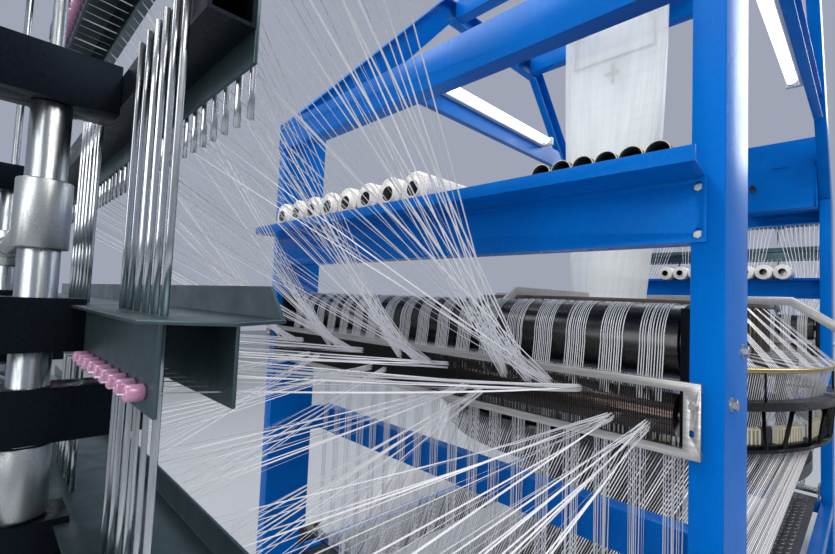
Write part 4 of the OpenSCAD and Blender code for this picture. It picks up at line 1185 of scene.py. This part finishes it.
@dataclass
class RisingTapes:
    """Tapes from the floor bars up to the heald combs, over the ring and in to the weaving point."""

    width: float = 0.0026
    tones: tuple[float, float] = (0.2, 1)
    per_portal: int = 220
    # Distance of the bar from the middle, its height and its radius.
    bar: tuple[float, float, float] = (1.0672, 0.360, 0.0163)
    reach: float = 0.573
    # First angle in degrees and the angle that the tapes of one portal cover.
    arc: tuple[float, float] = (-172, 164)
    rise_rows: int = 8
    twist: float = 0.4
    heald_r: float = 0.708
    heald_z: float = 0.8437
    top_z: float = 0.9063
    # Radius and height of the tape ring, half its thickness, and two places over its crown, out and up.
    ring: tuple[float, float, float] = (0.750, 1.074, 0.0073)
    crown: tuple[tuple[float, float], ...] = ((-0.003, 0.0072), (0.001, 0.0075))
    shed: int = 600
    slots: int = 120
    first_slot: float = 1.5
    # Angle in degrees between two tapes of a slot at the ring and at the reed.
    steps: tuple[float, float] = (0.6, 0.28)
    reed_r: float = 0.571
    seats: tuple[float, float] = (1.1024, 1.2576)
    weave: tuple[float, float] = (0.1593, 1.1845)
    weave_step: float = 0.002

    def build(self) -> None:
        """Draws the three stages as thin films."""
        rng = np.random.default_rng(SEED + 2)
        first, covered = self.arc
        angle = np.radians(first + np.arange(self.per_portal) * covered / (self.per_portal - 1))
        top = np.full((self.per_portal, 3), self.heald_z)
        top[:, 0], top[:, 1] = self.heald_r * np.cos(angle), self.heald_r * np.sin(angle)
        far, height, radius = self.bar
        slope = np.arctan2(top[:, 2] - height, far + top[:, 1])
        x = np.linspace(-self.reach, self.reach, self.per_portal)
        low = np.stack([x, -far + radius * np.sin(slope), height - radius * np.cos(slope)], -1)
        rise = straight(low, top, self.rise_rows)
        turn = rng.normal(0, self.twist, (self.per_portal, 1)) + np.zeros((1, self.rise_rows))
        for side, place in SIDES:
            tone = rng.uniform(*self.tones, self.per_portal)
            piece = film(f"{side}_rising_tapes", rise * place, self.width, turn, tone)
            place_on(piece, "root", "tape_film", "rising_tapes")
        path = self.shed_path()
        tone = rng.uniform(*self.tones, self.shed)
        piece = film("shed_tapes_drawn", path, self.width, np.zeros(path.shape[:2]), tone)
        place_on(piece, "root", "tape_film", "shed_tapes")

    def shed_path(self) -> Array:
        """Leads five tapes of each slot over the ring to the low or high end of the slot and to the cloth.

        Returns:
            Tapes by points by 3 array.
        """
        slot = np.arange(self.shed) * self.slots // self.shed
        place = np.arange(self.shed) % (self.shed // self.slots) - 2
        middle = self.first_slot + slot * 360 / self.slots
        outer, inner = (self.ray(middle + place * step) for step in self.steps)
        up = np.array([0, 0, 1.0])
        odd = slot % 2
        seat = np.array(self.seats)[odd][:, None]
        ring_r, ring_z, half = self.ring
        route = [outer * self.heald_r + up * self.top_z, outer * (ring_r - half) + up * ring_z]
        route += [outer * (ring_r + out) + up * (ring_z + over) for out, over in self.crown]
        route.append(inner * self.reed_r + up * seat)
        route.append(outer * self.weave[0] + up * (self.weave[1] + self.weave_step * odd[:, None]))
        return np.stack(route, 1)

    @staticmethod
    def ray(degrees: Array) -> Array:
        """Gives level unit vectors at these angles."""
        angle = np.radians(degrees)
        return np.stack([np.cos(angle), np.sin(angle), np.zeros(len(angle))], -1)


@dataclass
class BobbinShelf:
    """Full bobbins and empty tubes that lie on the shelf of both portals."""

    full: int = 8
    first_x: float = -0.483
    pitch: float = 0.0852
    front_y: float = -1.351
    length: float = 0.190
    radius: float = 0.0415
    bore: float = 0.018
    shelf_top: float = 1.440
    # Wall and depth of the mouth of a wound bobbin, and its round shoulder: in from the radius, and along.
    mouth: tuple[float, float] = (0.003, 0.005)
    shoulder: tuple[tuple[float, float], ...] = (
        (0.006, 0.0042), (0.0022, 0.005), (0.0004, 0.008), (0.0, 0.014),
    )
    belly: float = 0.0002
    bobbin_steps: int = 40
    empty: int = 6
    empty_x: float = 0.621
    empty_pitch: float = 0.0375
    wall: float = 0.002
    core_room: float = 0.0002
    rim: float = 0.0009
    rim_length: float = 0.002
    tube_steps: int = 32

    def bobbin(self) -> tuple[Array, Array, Array]:
        """Winds one bobbin with its mouth at the origin: a mirrored outline spun about its axis.

        Returns:
            Points, quads and the UV in metres.
        """
        r, n, b = self.radius, self.length, self.bore
        wall, depth = self.mouth
        front = [(b, 0), (b + wall, 0), (b + wall, depth)]
        front += [(r - inset, along) for inset, along in self.shoulder]
        back = np.array(front[::-1]) * [1, -1] + [0, n]
        profile = np.concatenate([front, [(r + self.belly, n / 2)], back, [(b, n / 2)]])
        points, faces = spun(profile, (0, 0, 0), 1, self.bobbin_steps)
        return points, faces, spun_uv(profile, self.bobbin_steps, 2 * np.pi * r)

    def row(self, x: Array, radius: float) -> Array:
        """Gives the places of a row of rollers of one radius that lie on the shelf at x."""
        return np.stack([x, np.full(len(x), self.front_y), np.full(len(x), self.shelf_top + radius)], -1)

    def tube(self, outer: float, start: float) -> tuple[Array, Array]:
        """Makes a tube at the origin, whose bore has one more ring of points in its middle.

        Args:
            outer: outer radius.
            start: how far both ends lie in from the full length.

        Returns:
            Points and quads.
        """
        inner, end = self.bore - self.wall, self.length - start
        outline = [(inner, start), (outer, start), (outer, end), (inner, end), (inner, self.length / 2)]
        return spun(np.array(outline), (0, 0, 0), 1, self.tube_steps)

    def build(self) -> None:
        """Lays out the bobbins, their black cores and the bare tubes with their pale rims."""
        points, faces, uv = self.bobbin()
        places = self.row(self.first_x + np.arange(self.full) * self.pitch, self.radius)
        for side, turn in SIDES:
            body, quads = stamped(points, faces, places)
            piece = make_piece(f"{side}_full_bobbins", body * turn, quads, Polymer.BOBBIN)
            write_uv(piece, np.tile(uv, (self.full, 1)))
            place_on(piece, "root", "bobbin_tape", "weft_bobbins")
            body, quads = stamped(*self.tube(self.bore - self.core_room, 0.0), places)
            piece = make_piece(f"{side}_bobbin_cores", body * turn, quads, Polymer.CORE)
            place_on(piece, "root", "black_tube")
            self.empties(side, turn)

    def empties(self, side: str, turn: Array) -> None:
        """Lays the bare tubes side by side and gives both ends a thin pale rim.

        Args:
            side: near or far, for the names.
            turn: factors that turn near places to this side.
        """
        places = self.row(self.empty_x - np.arange(self.empty) * self.empty_pitch, self.bore)
        body, quads = stamped(*self.tube(self.bore, self.rim_length), places)
        piece = make_piece(f"{side}_bare_tubes", body * turn, quads, Polymer.CORE)
        place_on(piece, "root", "black_tube", "empty_tubes")
        inner, outer, end = self.bore - self.rim, self.bore, self.rim_length
        rim = np.array([(inner, 0.0), (outer, 0.0), (outer, end), (inner, end)])
        both = [spun(rim + [0, start], (0, 0, 0), 1, self.tube_steps) for start in (0, self.length - end)]
        points, faces = joined(both)
        body, quads = stamped(points, np.array(faces), places)
        place_on(make_piece(f"{side}_tube_rims", body * turn, quads, Polymer.CREAM), "root", "heald_cream")


@dataclass
class ClothRun:
    """The woven tube from the weaving ring up to the roll, flattened between the nip rollers."""

    ring_r: float = 0.151
    half_flat: float = 0.2375
    nip_half: float = 0.0015
    low: float = 1.180
    free: float = 1.282
    nip: float = 2.850
    top: float = 3.020
    wall: float = 0.0007
    columns: int = 192
    rows: int = 150
    # How fast the round tube closes to its flat thickness, and how many folds of each kind run up it.
    closing: float = 1.7
    folds: tuple[int, ...] = (5, 8, 13, 21)
    fold_sizes: tuple[float, float] = (0.6, 1.2)
    fold_drift: float = 1.2
    fold_depth: float = 0.009
    phases: tuple[float, float] = (0, 6.28)
    tucked: float = 0.05
    # Distance from the middle, height and outer radius of the wound roll.
    roll: tuple[float, float, float] = (0.107, 3.020, 0.105)
    roll_half: float = 0.2375
    roll_inner: float = 0.027
    layers: int = 34
    layer_off: float = 0.0012
    roll_steps: int = 72
    roll_girth: float = 0.66
    spindle_r: float = 0.012
    core_r: float = 0.025
    core_half: float = 0.246
    core_steps: int = 40

    def folded(self, angle: Array, share: Array) -> Array:
        """Gives how far the cloth stands out: a sum of waves round it that drift with the height.

        Args:
            angle: angle of each column.
            share: height from the ring at 0 to the nip at 1, one row each.

        Returns:
            Rows by columns array in metres, nought at both ends.
        """
        rng = np.random.default_rng(SEED + 3)
        fold = np.zeros((self.rows, self.columns))
        for waves in self.folds:
            phase = rng.uniform(*self.phases)
            phase = phase + self.fold_drift * np.sin(3 * share + rng.uniform(*self.phases))
            fold += np.sin(waves * angle[None] + phase) / waves * rng.uniform(*self.fold_sizes)
        calm = np.sin(np.pi * np.clip(share, 0, 1)) ** 0.7 * (1 - share) ** 0.35
        return self.fold_depth * calm * (fold - fold.min())

    def build(self) -> None:
        """Makes the tube as one sheet and the cloth wound on the roll.

        A level cut of the tube is |cos a|ᵖ by |sin a|ᵖ, with p falling from 1, a circle, to a third.
        """
        angle = np.linspace(0, 2 * np.pi, self.columns, endpoint=False)
        z = np.r_[self.low, np.linspace(self.free, self.nip, self.rows - 2), self.top]
        share = np.clip((z - self.free) / (self.nip - self.free), 0, 1)[:, None]
        half_x = self.ring_r + (self.half_flat - self.ring_r) * (1 - (1 - share) ** 2)
        half_y = self.ring_r + (self.nip_half - self.ring_r) * (1 - (1 - share) ** self.closing)
        power = 2 / (2 + 4 * share)
        cos, sin = np.cos(angle)[None], np.sin(angle)[None]
        shape_x = np.sign(cos) * np.abs(cos) ** power
        shape_y = np.sign(sin) * np.abs(sin) ** power
        points = np.zeros((self.rows, self.columns, 3))
        points[..., 0] = half_x * shape_x
        out = self.folded(angle, share)
        points[..., 1] = half_y * shape_y + np.sign(sin) * out * np.abs(shape_y) ** 0.5
        points[..., 2] = z[:, None]
        piece = make_piece("woven_tube", points, grid_faces(self.rows, self.columns, True), Polymer.CLOTH)
        around = np.arange(self.columns) / self.columns * 4 * self.half_flat
        write_uv(piece, np.stack(np.meshgrid(around, z), -1).reshape(-1, 2))
        solid = piece.modifiers.new("cloth wall", "SOLIDIFY")
        solid.thickness = self.wall
        solid.offset = -1
        place_on(piece, "root", "woven_cloth", "cloth_tube")
        self.wound()

    def wound(self) -> None:
        """Winds the roll: a drum of cloth whose ends show the uneven edges of the layers."""
        rng = np.random.default_rng(SEED + 4)
        forward, height, outer = self.roll
        centre = (0, forward, height)
        radii = np.linspace(self.roll_inner, outer, self.layers)
        left = np.stack([radii, -self.roll_half - rng.uniform(-self.layer_off, 0.0, self.layers)], -1)
        right = np.stack([radii, self.roll_half + rng.uniform(-self.layer_off, 0.0, self.layers)], -1)
        profile = np.concatenate([left, right[::-1]])
        points, faces = spun(profile, centre, 0, self.roll_steps)
        piece = make_piece("wound_cloth", points, faces, Polymer.WOUND_CLOTH)
        write_uv(piece, spun_uv(profile, self.roll_steps, self.roll_girth))
        place_on(piece, "roll", "woven_cloth", "cloth_roll")
        low, high = (corner[0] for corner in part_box("cloth_roll"))
        thin, thick, half = self.spindle_r, self.core_r, self.core_half
        shaft = [(0.0, low), (thin, low), (thin, -half), (thick, -half)]
        shaft += [(thick, half), (thin, half), (thin, high), (0.0, high)]
        points, faces = spun(np.array(shaft), centre, 0, self.core_steps)
        place_on(make_piece("roll_core", points, faces, Metal.SHAFT), "roll", "bright_steel")


@dataclass
class GuideStand:
    """Ceramic eyelets, upright drop wires and short banks of wires of the warp guide stand."""

    eye_y: float = -1.9587
    # Radius of the hole and of the outside.
    eye_r: tuple[float, float] = (0.0024, 0.0056)
    # Half the length at the hole, over the faces and at the outer edge, and the width of its rounding.
    eye_half: tuple[float, float, float] = (0.0040, 0.0060, 0.0046)
    eye_round: float = 0.0012
    eye_steps: int = 16
    arms: tuple[float, float] = (-0.370, 0.254)
    arm_room: float = 0.036
    # Six long wires stand between the eyelets at the left end of each run of twelve.
    run: int = 12
    run_wires: int = 6
    wire_y: float = -1.9410
    # Foot of a long wire over its own level, head over the level above, and how far it leans.
    foot: float = 0.0203
    head: float = 0.0167
    lean: float = 0.0012
    bank_x: float = 0.0060
    bank_y: float = -1.8976
    bank_drop: float = 0.0780
    bank_length: float = 0.0900
    bank_lean: float = 0.0004
    wide: float = 0.0052
    thick: float = 0.0018
    rows: int = 5
    # Middle and spread, in radians, of how far a wire is turned about its own line.
    turned: tuple[float, float] = (1.1, 0.25)

    def build(self) -> None:
        """Makes the eyelets, drop wires and banks of both stands."""
        hole, edge = self.eye_r
        inside, over, outside = self.eye_half
        soft = self.eye_round
        low = [(hole, -inside), (hole + soft, -over), (edge - soft, -over), (edge, -outside)]
        profile = np.concatenate([low, np.array(low[::-1]) * [1, -1]])
        points, faces = spun(profile, (0, 0, 0), 1, self.eye_steps)
        x = EYE_X[self.off_arms(EYE_X)]
        z = np.repeat(LEVELS[EYE_LEVELS] - EYE_DROP, len(x))
        places = np.stack([np.tile(x, len(EYE_LEVELS)), np.full(len(z), self.eye_y), z], -1)
        eyes, quads = stamped(points, faces, places)
        drops, drop_faces = self.drop_wires()
        bank, bank_faces = self.bank()
        for side, turn in SIDES:
            piece = make_piece(f"{side}_ceramic_eyelets", eyes * turn, quads, Polymer.CERAMIC)
            place_on(piece, "root", "eyelet_ceramic", "eyelets")
            piece = make_piece(f"{side}_drop_wires", drops * turn, drop_faces, Metal.DROP)
            place_on(piece, "root", "bright_steel", "drop_wires")
            piece = make_piece(f"{side}_short_wire_bank", bank * turn, bank_faces, Metal.DROP)
            place_on(piece, "root", "bright_steel")

    def off_arms(self, x: Array) -> Array:
        """Tells which places along the rails are clear of the arms."""
        return np.abs(x[:, None] - np.array(self.arms)[None]).min(1) > self.arm_room

    def drop_wires(self) -> tuple[Array, Array]:
        """Stands the long wires between each folded sheet and the rail or sheet above it.

        Returns:
            Points and quads for the near stand.
        """
        ends = EYE_X[self.run - 1 :: self.run]
        x = (ends[:, None] - EYE_PITCH / 2 - np.arange(self.run_wires)[None] * EYE_PITCH).ravel()
        x = x[self.off_arms(x)]
        low = np.repeat(LEVELS[EYE_LEVELS] + self.foot, len(x))
        high = np.repeat(LEVELS[EYE_LEVELS - 1] + self.head, len(x))
        x = np.tile(x, len(EYE_LEVELS))
        foot = np.stack([x, np.full(len(x), self.wire_y), low], -1)
        return self.strips(foot, high - low, self.lean)

    def bank(self) -> tuple[Array, Array]:
        """Hangs a short wire for every tape behind the strip of each bare rail.

        Returns:
            Points and quads for the near stand.
        """
        x = np.tile(EYE_X + self.bank_x, len(RAIL_LEVELS))
        low = np.repeat(LEVELS[RAIL_LEVELS] - self.bank_drop, len(EYE_X))
        foot = np.stack([x, np.full(len(x), self.bank_y), low], -1)
        return self.strips(foot, np.full(len(x), self.bank_length), self.bank_lean)

    def strips(self, foot: Array, length: Array, lean: float) -> tuple[Array, Array]:
        """Makes upright flat wires from their feet, turned and leaning a little.

        Args:
            foot: lowest point of each wire.
            length: length of each wire.
            lean: spread of how far their heads are off to the side.

        Returns:
            Points and quads of all wires.
        """
        rng = np.random.default_rng(SEED + 5)
        count = len(foot)
        share = np.linspace(0, 1, self.rows)
        paths = np.repeat(foot[:, None, :], self.rows, 1)
        paths[..., 2] += share[None] * length[:, None]
        paths[..., 0] += rng.normal(0, lean, (count, 1)) * share[None]
        turned = rng.normal(*self.turned, count)
        sides = np.zeros_like(paths)
        sides[..., 0] = (np.cos(turned) * self.wide / 2)[:, None]
        sides[..., 1] = (np.sin(turned) * self.wide / 2)[:, None]
        return self.oval(paths, sides)

    def oval(self, paths: Array, sides: Array) -> tuple[Array, Array]:
        """Gives each wire rounded edges: eight points at path + side · cos a + normal · sin a on every row.

        Args:
            paths: wires by rows by 3 array of the middle lines.
            sides: same shape, from the middle line to one edge.

        Returns:
            Points and quads, with both ends closed.
        """
        count, rows = paths.shape[:2]
        normal = unit(np.cross(np.array([0.0, 0.0, 1.0]), sides)) * self.thick / 2
        angle = np.linspace(0, 2 * np.pi, 8, endpoint=False)
        ring = sides[:, :, None] * np.cos(angle)[:, None] + normal[:, :, None] * np.sin(angle)[:, None]
        points = paths[:, :, None] + ring
        cap = np.array([[0, 1, 2, 3], [0, 3, 4, 7], [4, 5, 6, 7]])
        one = np.concatenate([grid_faces(rows, 8, True), cap[:, ::-1], cap + (rows - 1) * 8])
        index = one[None] + (np.arange(count) * rows * 8)[:, None, None]
        return points.reshape(-1, 3), index.reshape(-1, 4)


class Facing(Enum):
    """Side that a bolt head looks to."""

    NEAR = (0, -1)
    RIGHT = (1, 0)
    LEFT = (-1, 0)


@dataclass
class Fasteners:
    """Hex screws with washers where the real frame is bolted together."""

    across: float = 0.0130
    height: float = 0.0060
    washer_r: float = 0.0088
    washer_t: float = 0.0016
    edge: float = 0.0004
    foot_round: float = 0.0003
    chamfer: float = 0.0007
    tip_r: float = 0.0001
    steps: int = 24
    front_size: float = 0.80
    side_size: float = 1.20
    # Places in metres of the screws that face the near end.
    front: tuple[tuple[float, float, float], ...] = (
        (-0.6655, -1.267, 1.780), (-0.6655, -1.267, 1.835),
        (0.6655, -1.267, 1.780), (0.6655, -1.267, 1.835),
        (-0.6535, -1.267, 1.419), (-0.6535, -1.267, 1.3475),
        (0.6535, -1.267, 1.419), (0.6535, -1.267, 1.3475),
        (-0.669, -1.277, 1.0934), (0.652, -1.277, 1.0934),
    )
    side_x: float = 0.688
    side_yz: tuple[tuple[float, float], ...] = ((-1.144, 1.1723), (-1.2265, 1.0974))

    def head(self) -> tuple[Array, Array]:
        """Builds washer and chamfered hex head along +Z as stacked rings of points.

        The hexagon's edge at angle a lies at r / cos(a folded into a sixth). The chamfer is a round cone.

        Returns:
            Points and quads.
        """
        angle = np.linspace(0, 2 * np.pi, self.steps, endpoint=False)
        folded = (angle + np.pi / 6) % (np.pi / 3) - np.pi / 6
        hexagon = self.across / 2 / np.cos(folded)
        circle = np.ones(self.steps)
        top = self.washer_t + self.height
        rings = [
            (circle * self.washer_r, 0.0),
            (circle * self.washer_r, self.washer_t * 0.8),
            (circle * (self.washer_r - self.edge), self.washer_t),
            (hexagon * 0.995, self.washer_t),
            (hexagon, self.washer_t + self.foot_round),
            (hexagon, top - self.chamfer),
            (np.minimum(hexagon, self.across / 2) * 0.97, top),
            (circle * self.tip_r, top),
        ]
        points = [np.stack([r * np.cos(angle), r * np.sin(angle), circle * z], -1) for r, z in rings]
        return np.concatenate(points), grid_faces(len(rings), self.steps, True)

    def spots(self) -> list[tuple[Facing, tuple[float, float, float]]]:
        """Lists where the near portal and side frames are screwed together.

        Returns:
            Facing and place of every screw.
        """
        spots = [(Facing.NEAR, place) for place in self.front]
        for y, z in self.side_yz:
            spots += [(Facing.RIGHT, (self.side_x, y, z)), (Facing.LEFT, (-self.side_x, y, z))]
        return spots

    def build(self) -> None:
        """Stamps a head at every place of both portals, turned to face outwards."""
        points, faces = self.head()
        turns, places = [], []
        for facing, place in self.spots():
            out = np.array([*facing.value, 0.0])
            across = np.array([-out[1], out[0], 0.0])
            size = self.front_size if facing is Facing.NEAR else self.side_size
            turns.append(np.stack([across, [0, 0, 1.0], out], -1) * size)
            places.append(place)
        both_places = np.concatenate([np.array(places) * turn for _, turn in SIDES])
        both_turns = np.concatenate([np.diag(turn) @ np.array(turns) for _, turn in SIDES])
        body, quads = stamped(points, faces, both_places, both_turns)
        place_on(make_piece("hex_screws", body, quads, Metal.ZINC_BOLT, False), "root", "bright_steel")


@dataclass
class LampCaps:
    """Aluminium caps on both ends of the lamp tubes."""

    x: float = 0.594
    z: float = 2.273
    half: float = 0.480
    radius: float = 0.0194
    # Rounded end of a cap: in from the radius, and along from its mouth.
    crown: tuple[tuple[float, float], ...] = ((0.0, 0.014), (0.001, 0.0165), (0.005, 0.018))
    steps: int = 36

    def build(self) -> None:
        """Makes four caps. At the far end of a tube the outline is mirrored and runs the other way."""
        r = self.radius
        outline = [(0.0, 0.0), (r, 0.0)] + [(r - inset, along) for inset, along in self.crown]
        outline = np.array(outline + [(0.0, self.crown[-1][1])])
        parts = []
        for x in (-self.x, self.x):
            for way, place in ((1, -self.half), (-1, self.half)):
                profile = outline * [1, way] + [0, place]
                parts.append(spun(profile[::way], (x, 0, self.z), 1, self.steps))
        points, faces = joined(parts)
        place_on(make_piece("lamp_caps", points, faces, Metal.ZINC_BOLT), "root", "lamp_fitting")


@dataclass
class TreadLugs:
    """Raised lozenges of the chequer plate, worn to bright steel on top."""

    half_long: float = 0.012
    half_wide: float = 0.0042
    height: float = 0.0014
    sunk: float = 0.0002
    # Length and width of the flat crown as shares of the base.
    crown: tuple[float, float] = (0.74, 0.5)
    steps: int = 10
    pitch: float = 0.0245
    margin: float = 0.016
    tread_x: tuple[float, float] = (0.454, 0.626)
    tread_y: float = 1.147
    top_z: float = 0.305

    def build(self) -> None:
        """Stamps lozenges over each tread, every one turned by a right angle from the next."""
        angle = np.linspace(0, 2 * np.pi, self.steps, endpoint=False)
        base = np.full((self.steps, 3), -self.sunk)
        base[:, 0], base[:, 1] = self.half_long * np.cos(angle), self.half_wide * np.sin(angle)
        crown = base * [*self.crown, 0] + [0, 0, self.height]
        lids = np.array([[10, 11, 18, 19], [11, 12, 17, 18], [12, 13, 16, 17], [13, 14, 15, 16]])
        faces = np.concatenate([grid_faces(2, self.steps, True), lids])
        x = np.arange(self.tread_x[0] + self.margin, self.tread_x[1] - self.margin + 1e-6, self.pitch)
        y = np.arange(-self.tread_y + self.margin, self.tread_y - self.margin, self.pitch)
        grid_x, grid_y = np.meshgrid(x, y, indexing="ij")
        parity = (np.add.outer(np.arange(len(x)), np.arange(len(y))) % 2).ravel()
        places = np.stack([grid_x.ravel(), grid_y.ravel(), np.full(grid_x.size, self.top_z)], -1)
        turns = about_z(np.radians(np.where(parity == 0, 45, -45)))
        body, quads = stamped(np.concatenate([base, crown]), faces, places, turns)
        points, faces = joined([(body * turn, quads) for _, turn in SIDES])
        place_on(make_piece("tread_lozenges", points, faces, Metal.WORN_STEEL), "root", "tread_steel")


# Studio


@dataclass
class Studio:
    """Camera at the photograph's place, plain floor and backdrop, and soft lamps."""

    eye: tuple[float, float, float] = (0.837, -2.037, 1.230)
    right: tuple[float, float, float] = (0.70359, 0.70932, 0.04271)
    up: tuple[float, float, float] = (0.00827, -0.06827, 0.99763)
    back: tuple[float, float, float] = (0.71056, -0.70157, -0.05390)
    lens_mm: float = 19.42
    sensor_mm: float = 36.0
    clip: tuple[float, float] = (0.02, 60)
    backdrop: str = "#9FA5B4"
    sky: str = "#DDE3EA"
    sky_strength: float = 0.42
    floor_half: float = 14
    floor_z: float = -0.0005
    # Name, place, point that it faces, side of the square in metres, watts and colour.
    lamps: tuple[tuple[str, tuple[float, ...], tuple[float, ...], float, float, str], ...] = (
        ("overhead_left", (-1.6, -2.6, 5.2), (0.2, -0.6, 1.2), 3.0, 150, "#FFFFFF"),
        ("overhead_right", (3.4, -1.6, 4.6), (0.4, -0.4, 1.2), 2.6, 120, "#FFF8F0"),
        ("overhead_far", (-0.9, 3.6, 5.4), (0, 0.4, 1.0), 3.0, 85, "#F2F7FF"),
        ("far_right", (1.7, 4.2, 4.7), (0.6, -0.8, 1.5), 2.8, 110, "#F6FAFF"),
        ("behind_camera", (1.2, -5.2, 2.4), (0.1, -1.2, 1.2), 2.4, 70, "#FFFFFF"),
    )

    def build(self) -> None:
        """Sets camera, world, stage and lamps."""
        self.camera()
        self.world()
        self.floor()
        for name, place, aim, size, power, colour in self.lamps:
            self.lamp(name, place, aim, size, power, colour)

    def camera(self) -> None:
        """Puts the camera where the photograph was taken from."""
        data = bpy.data.cameras.new("photo_camera")
        data.lens = self.lens_mm
        data.sensor_width = self.sensor_mm
        data.sensor_fit = "HORIZONTAL"
        data.clip_start, data.clip_end = self.clip
        camera = bpy.data.objects.new("photo_camera", data)
        turn = Matrix((self.right, self.up, self.back)).transposed().to_4x4()
        camera.matrix_world = Matrix.Translation(self.eye) @ turn
        bpy.context.scene.collection.objects.link(camera)
        bpy.context.scene.camera = camera
        bpy.context.scene.view_settings.view_transform = "Standard"

    def world(self) -> None:
        """Lights softly from all round, and shows a plain backdrop to camera, gloss and glass."""
        world = bpy.data.worlds.new("studio")
        world.use_nodes = True
        bpy.context.scene.world = world
        tree = world.node_tree
        tree.nodes.clear()
        path = add_node(tree, "ShaderNodeLightPath").outputs
        seen = path["Is Camera Ray"]
        for ray in ("Is Glossy Ray", "Is Transmission Ray"):
            seen = add_node(tree, "ShaderNodeMath", {0: seen, 1: path[ray]}, operation="MAXIMUM").outputs[0]
        sky = {"Color": linear(self.sky), "Strength": self.sky_strength}
        plain = {"Color": linear(self.backdrop), "Strength": 1.0}
        lit, shown = (add_node(tree, "ShaderNodeBackground", kind).outputs[0] for kind in (sky, plain))
        mixed = add_node(tree, "ShaderNodeMixShader", {0: seen, 1: lit, 2: shown})
        add_node(tree, "ShaderNodeOutputWorld", {"Surface": mixed.outputs[0]})

    def floor(self) -> None:
        """Lays one plain floor under the machine."""
        half, z = self.floor_half, self.floor_z
        points = np.array([(-half, -half, z), (half, -half, z), (half, half, z), (-half, half, z)])
        finish = Finish("plain_studio_floor", "#B9BCC2", "#B3B6BC", 0.7, 0.0, 80.0, 0.0, 0.05)
        make_piece("studio_floor", points, [[0, 1, 2, 3]], finish, False)

    @staticmethod
    def lamp(
        name: str,
        place: Sequence[float],
        aim: Sequence[float],
        size: float,
        power: float,
        colour: str,
    ) -> None:
        """Hangs one square soft lamp and aims it.

        Args:
            name: name of the lamp.
            place: its middle.
            aim: point that it faces.
            size: side of the square in metres.
            power: watts.
            colour: sRGB hex value.
        """
        data = bpy.data.lights.new(name, "AREA")
        data.size = size
        data.energy = power
        data.color = linear(colour)[:3]
        lamp = bpy.data.objects.new(name, data)
        lamp.location = place
        lamp.rotation_euler = (Vector(aim) - Vector(place)).to_track_quat("-Z", "Y").to_euler()
        bpy.context.scene.collection.objects.link(lamp)


def main() -> None:
    """Builds every sub-assembly in order."""
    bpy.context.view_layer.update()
    parts = (
        Studio(), SheetMetalFrame(), RoundParts(), CadFinishes(), HealdCombs(), CombWires(), WarpFans(),
        RollerBundles(), RisingTapes(), BobbinShelf(), ClothRun(), GuideStand(), LampCaps(), TreadLugs(),
        Fasteners(),
    )
    for part in parts:
        LOG.info("building %s", type(part).__name__)
        part.build()


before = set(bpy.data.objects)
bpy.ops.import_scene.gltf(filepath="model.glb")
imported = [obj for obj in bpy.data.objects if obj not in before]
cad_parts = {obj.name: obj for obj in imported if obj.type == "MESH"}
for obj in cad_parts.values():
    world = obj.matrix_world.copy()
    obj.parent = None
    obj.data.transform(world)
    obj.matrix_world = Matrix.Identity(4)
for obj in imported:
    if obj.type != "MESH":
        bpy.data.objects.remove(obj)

if __name__ == "__main__":
    logging.basicConfig(level=logging.INFO, format="%(name)s: %(message)s")
    main()
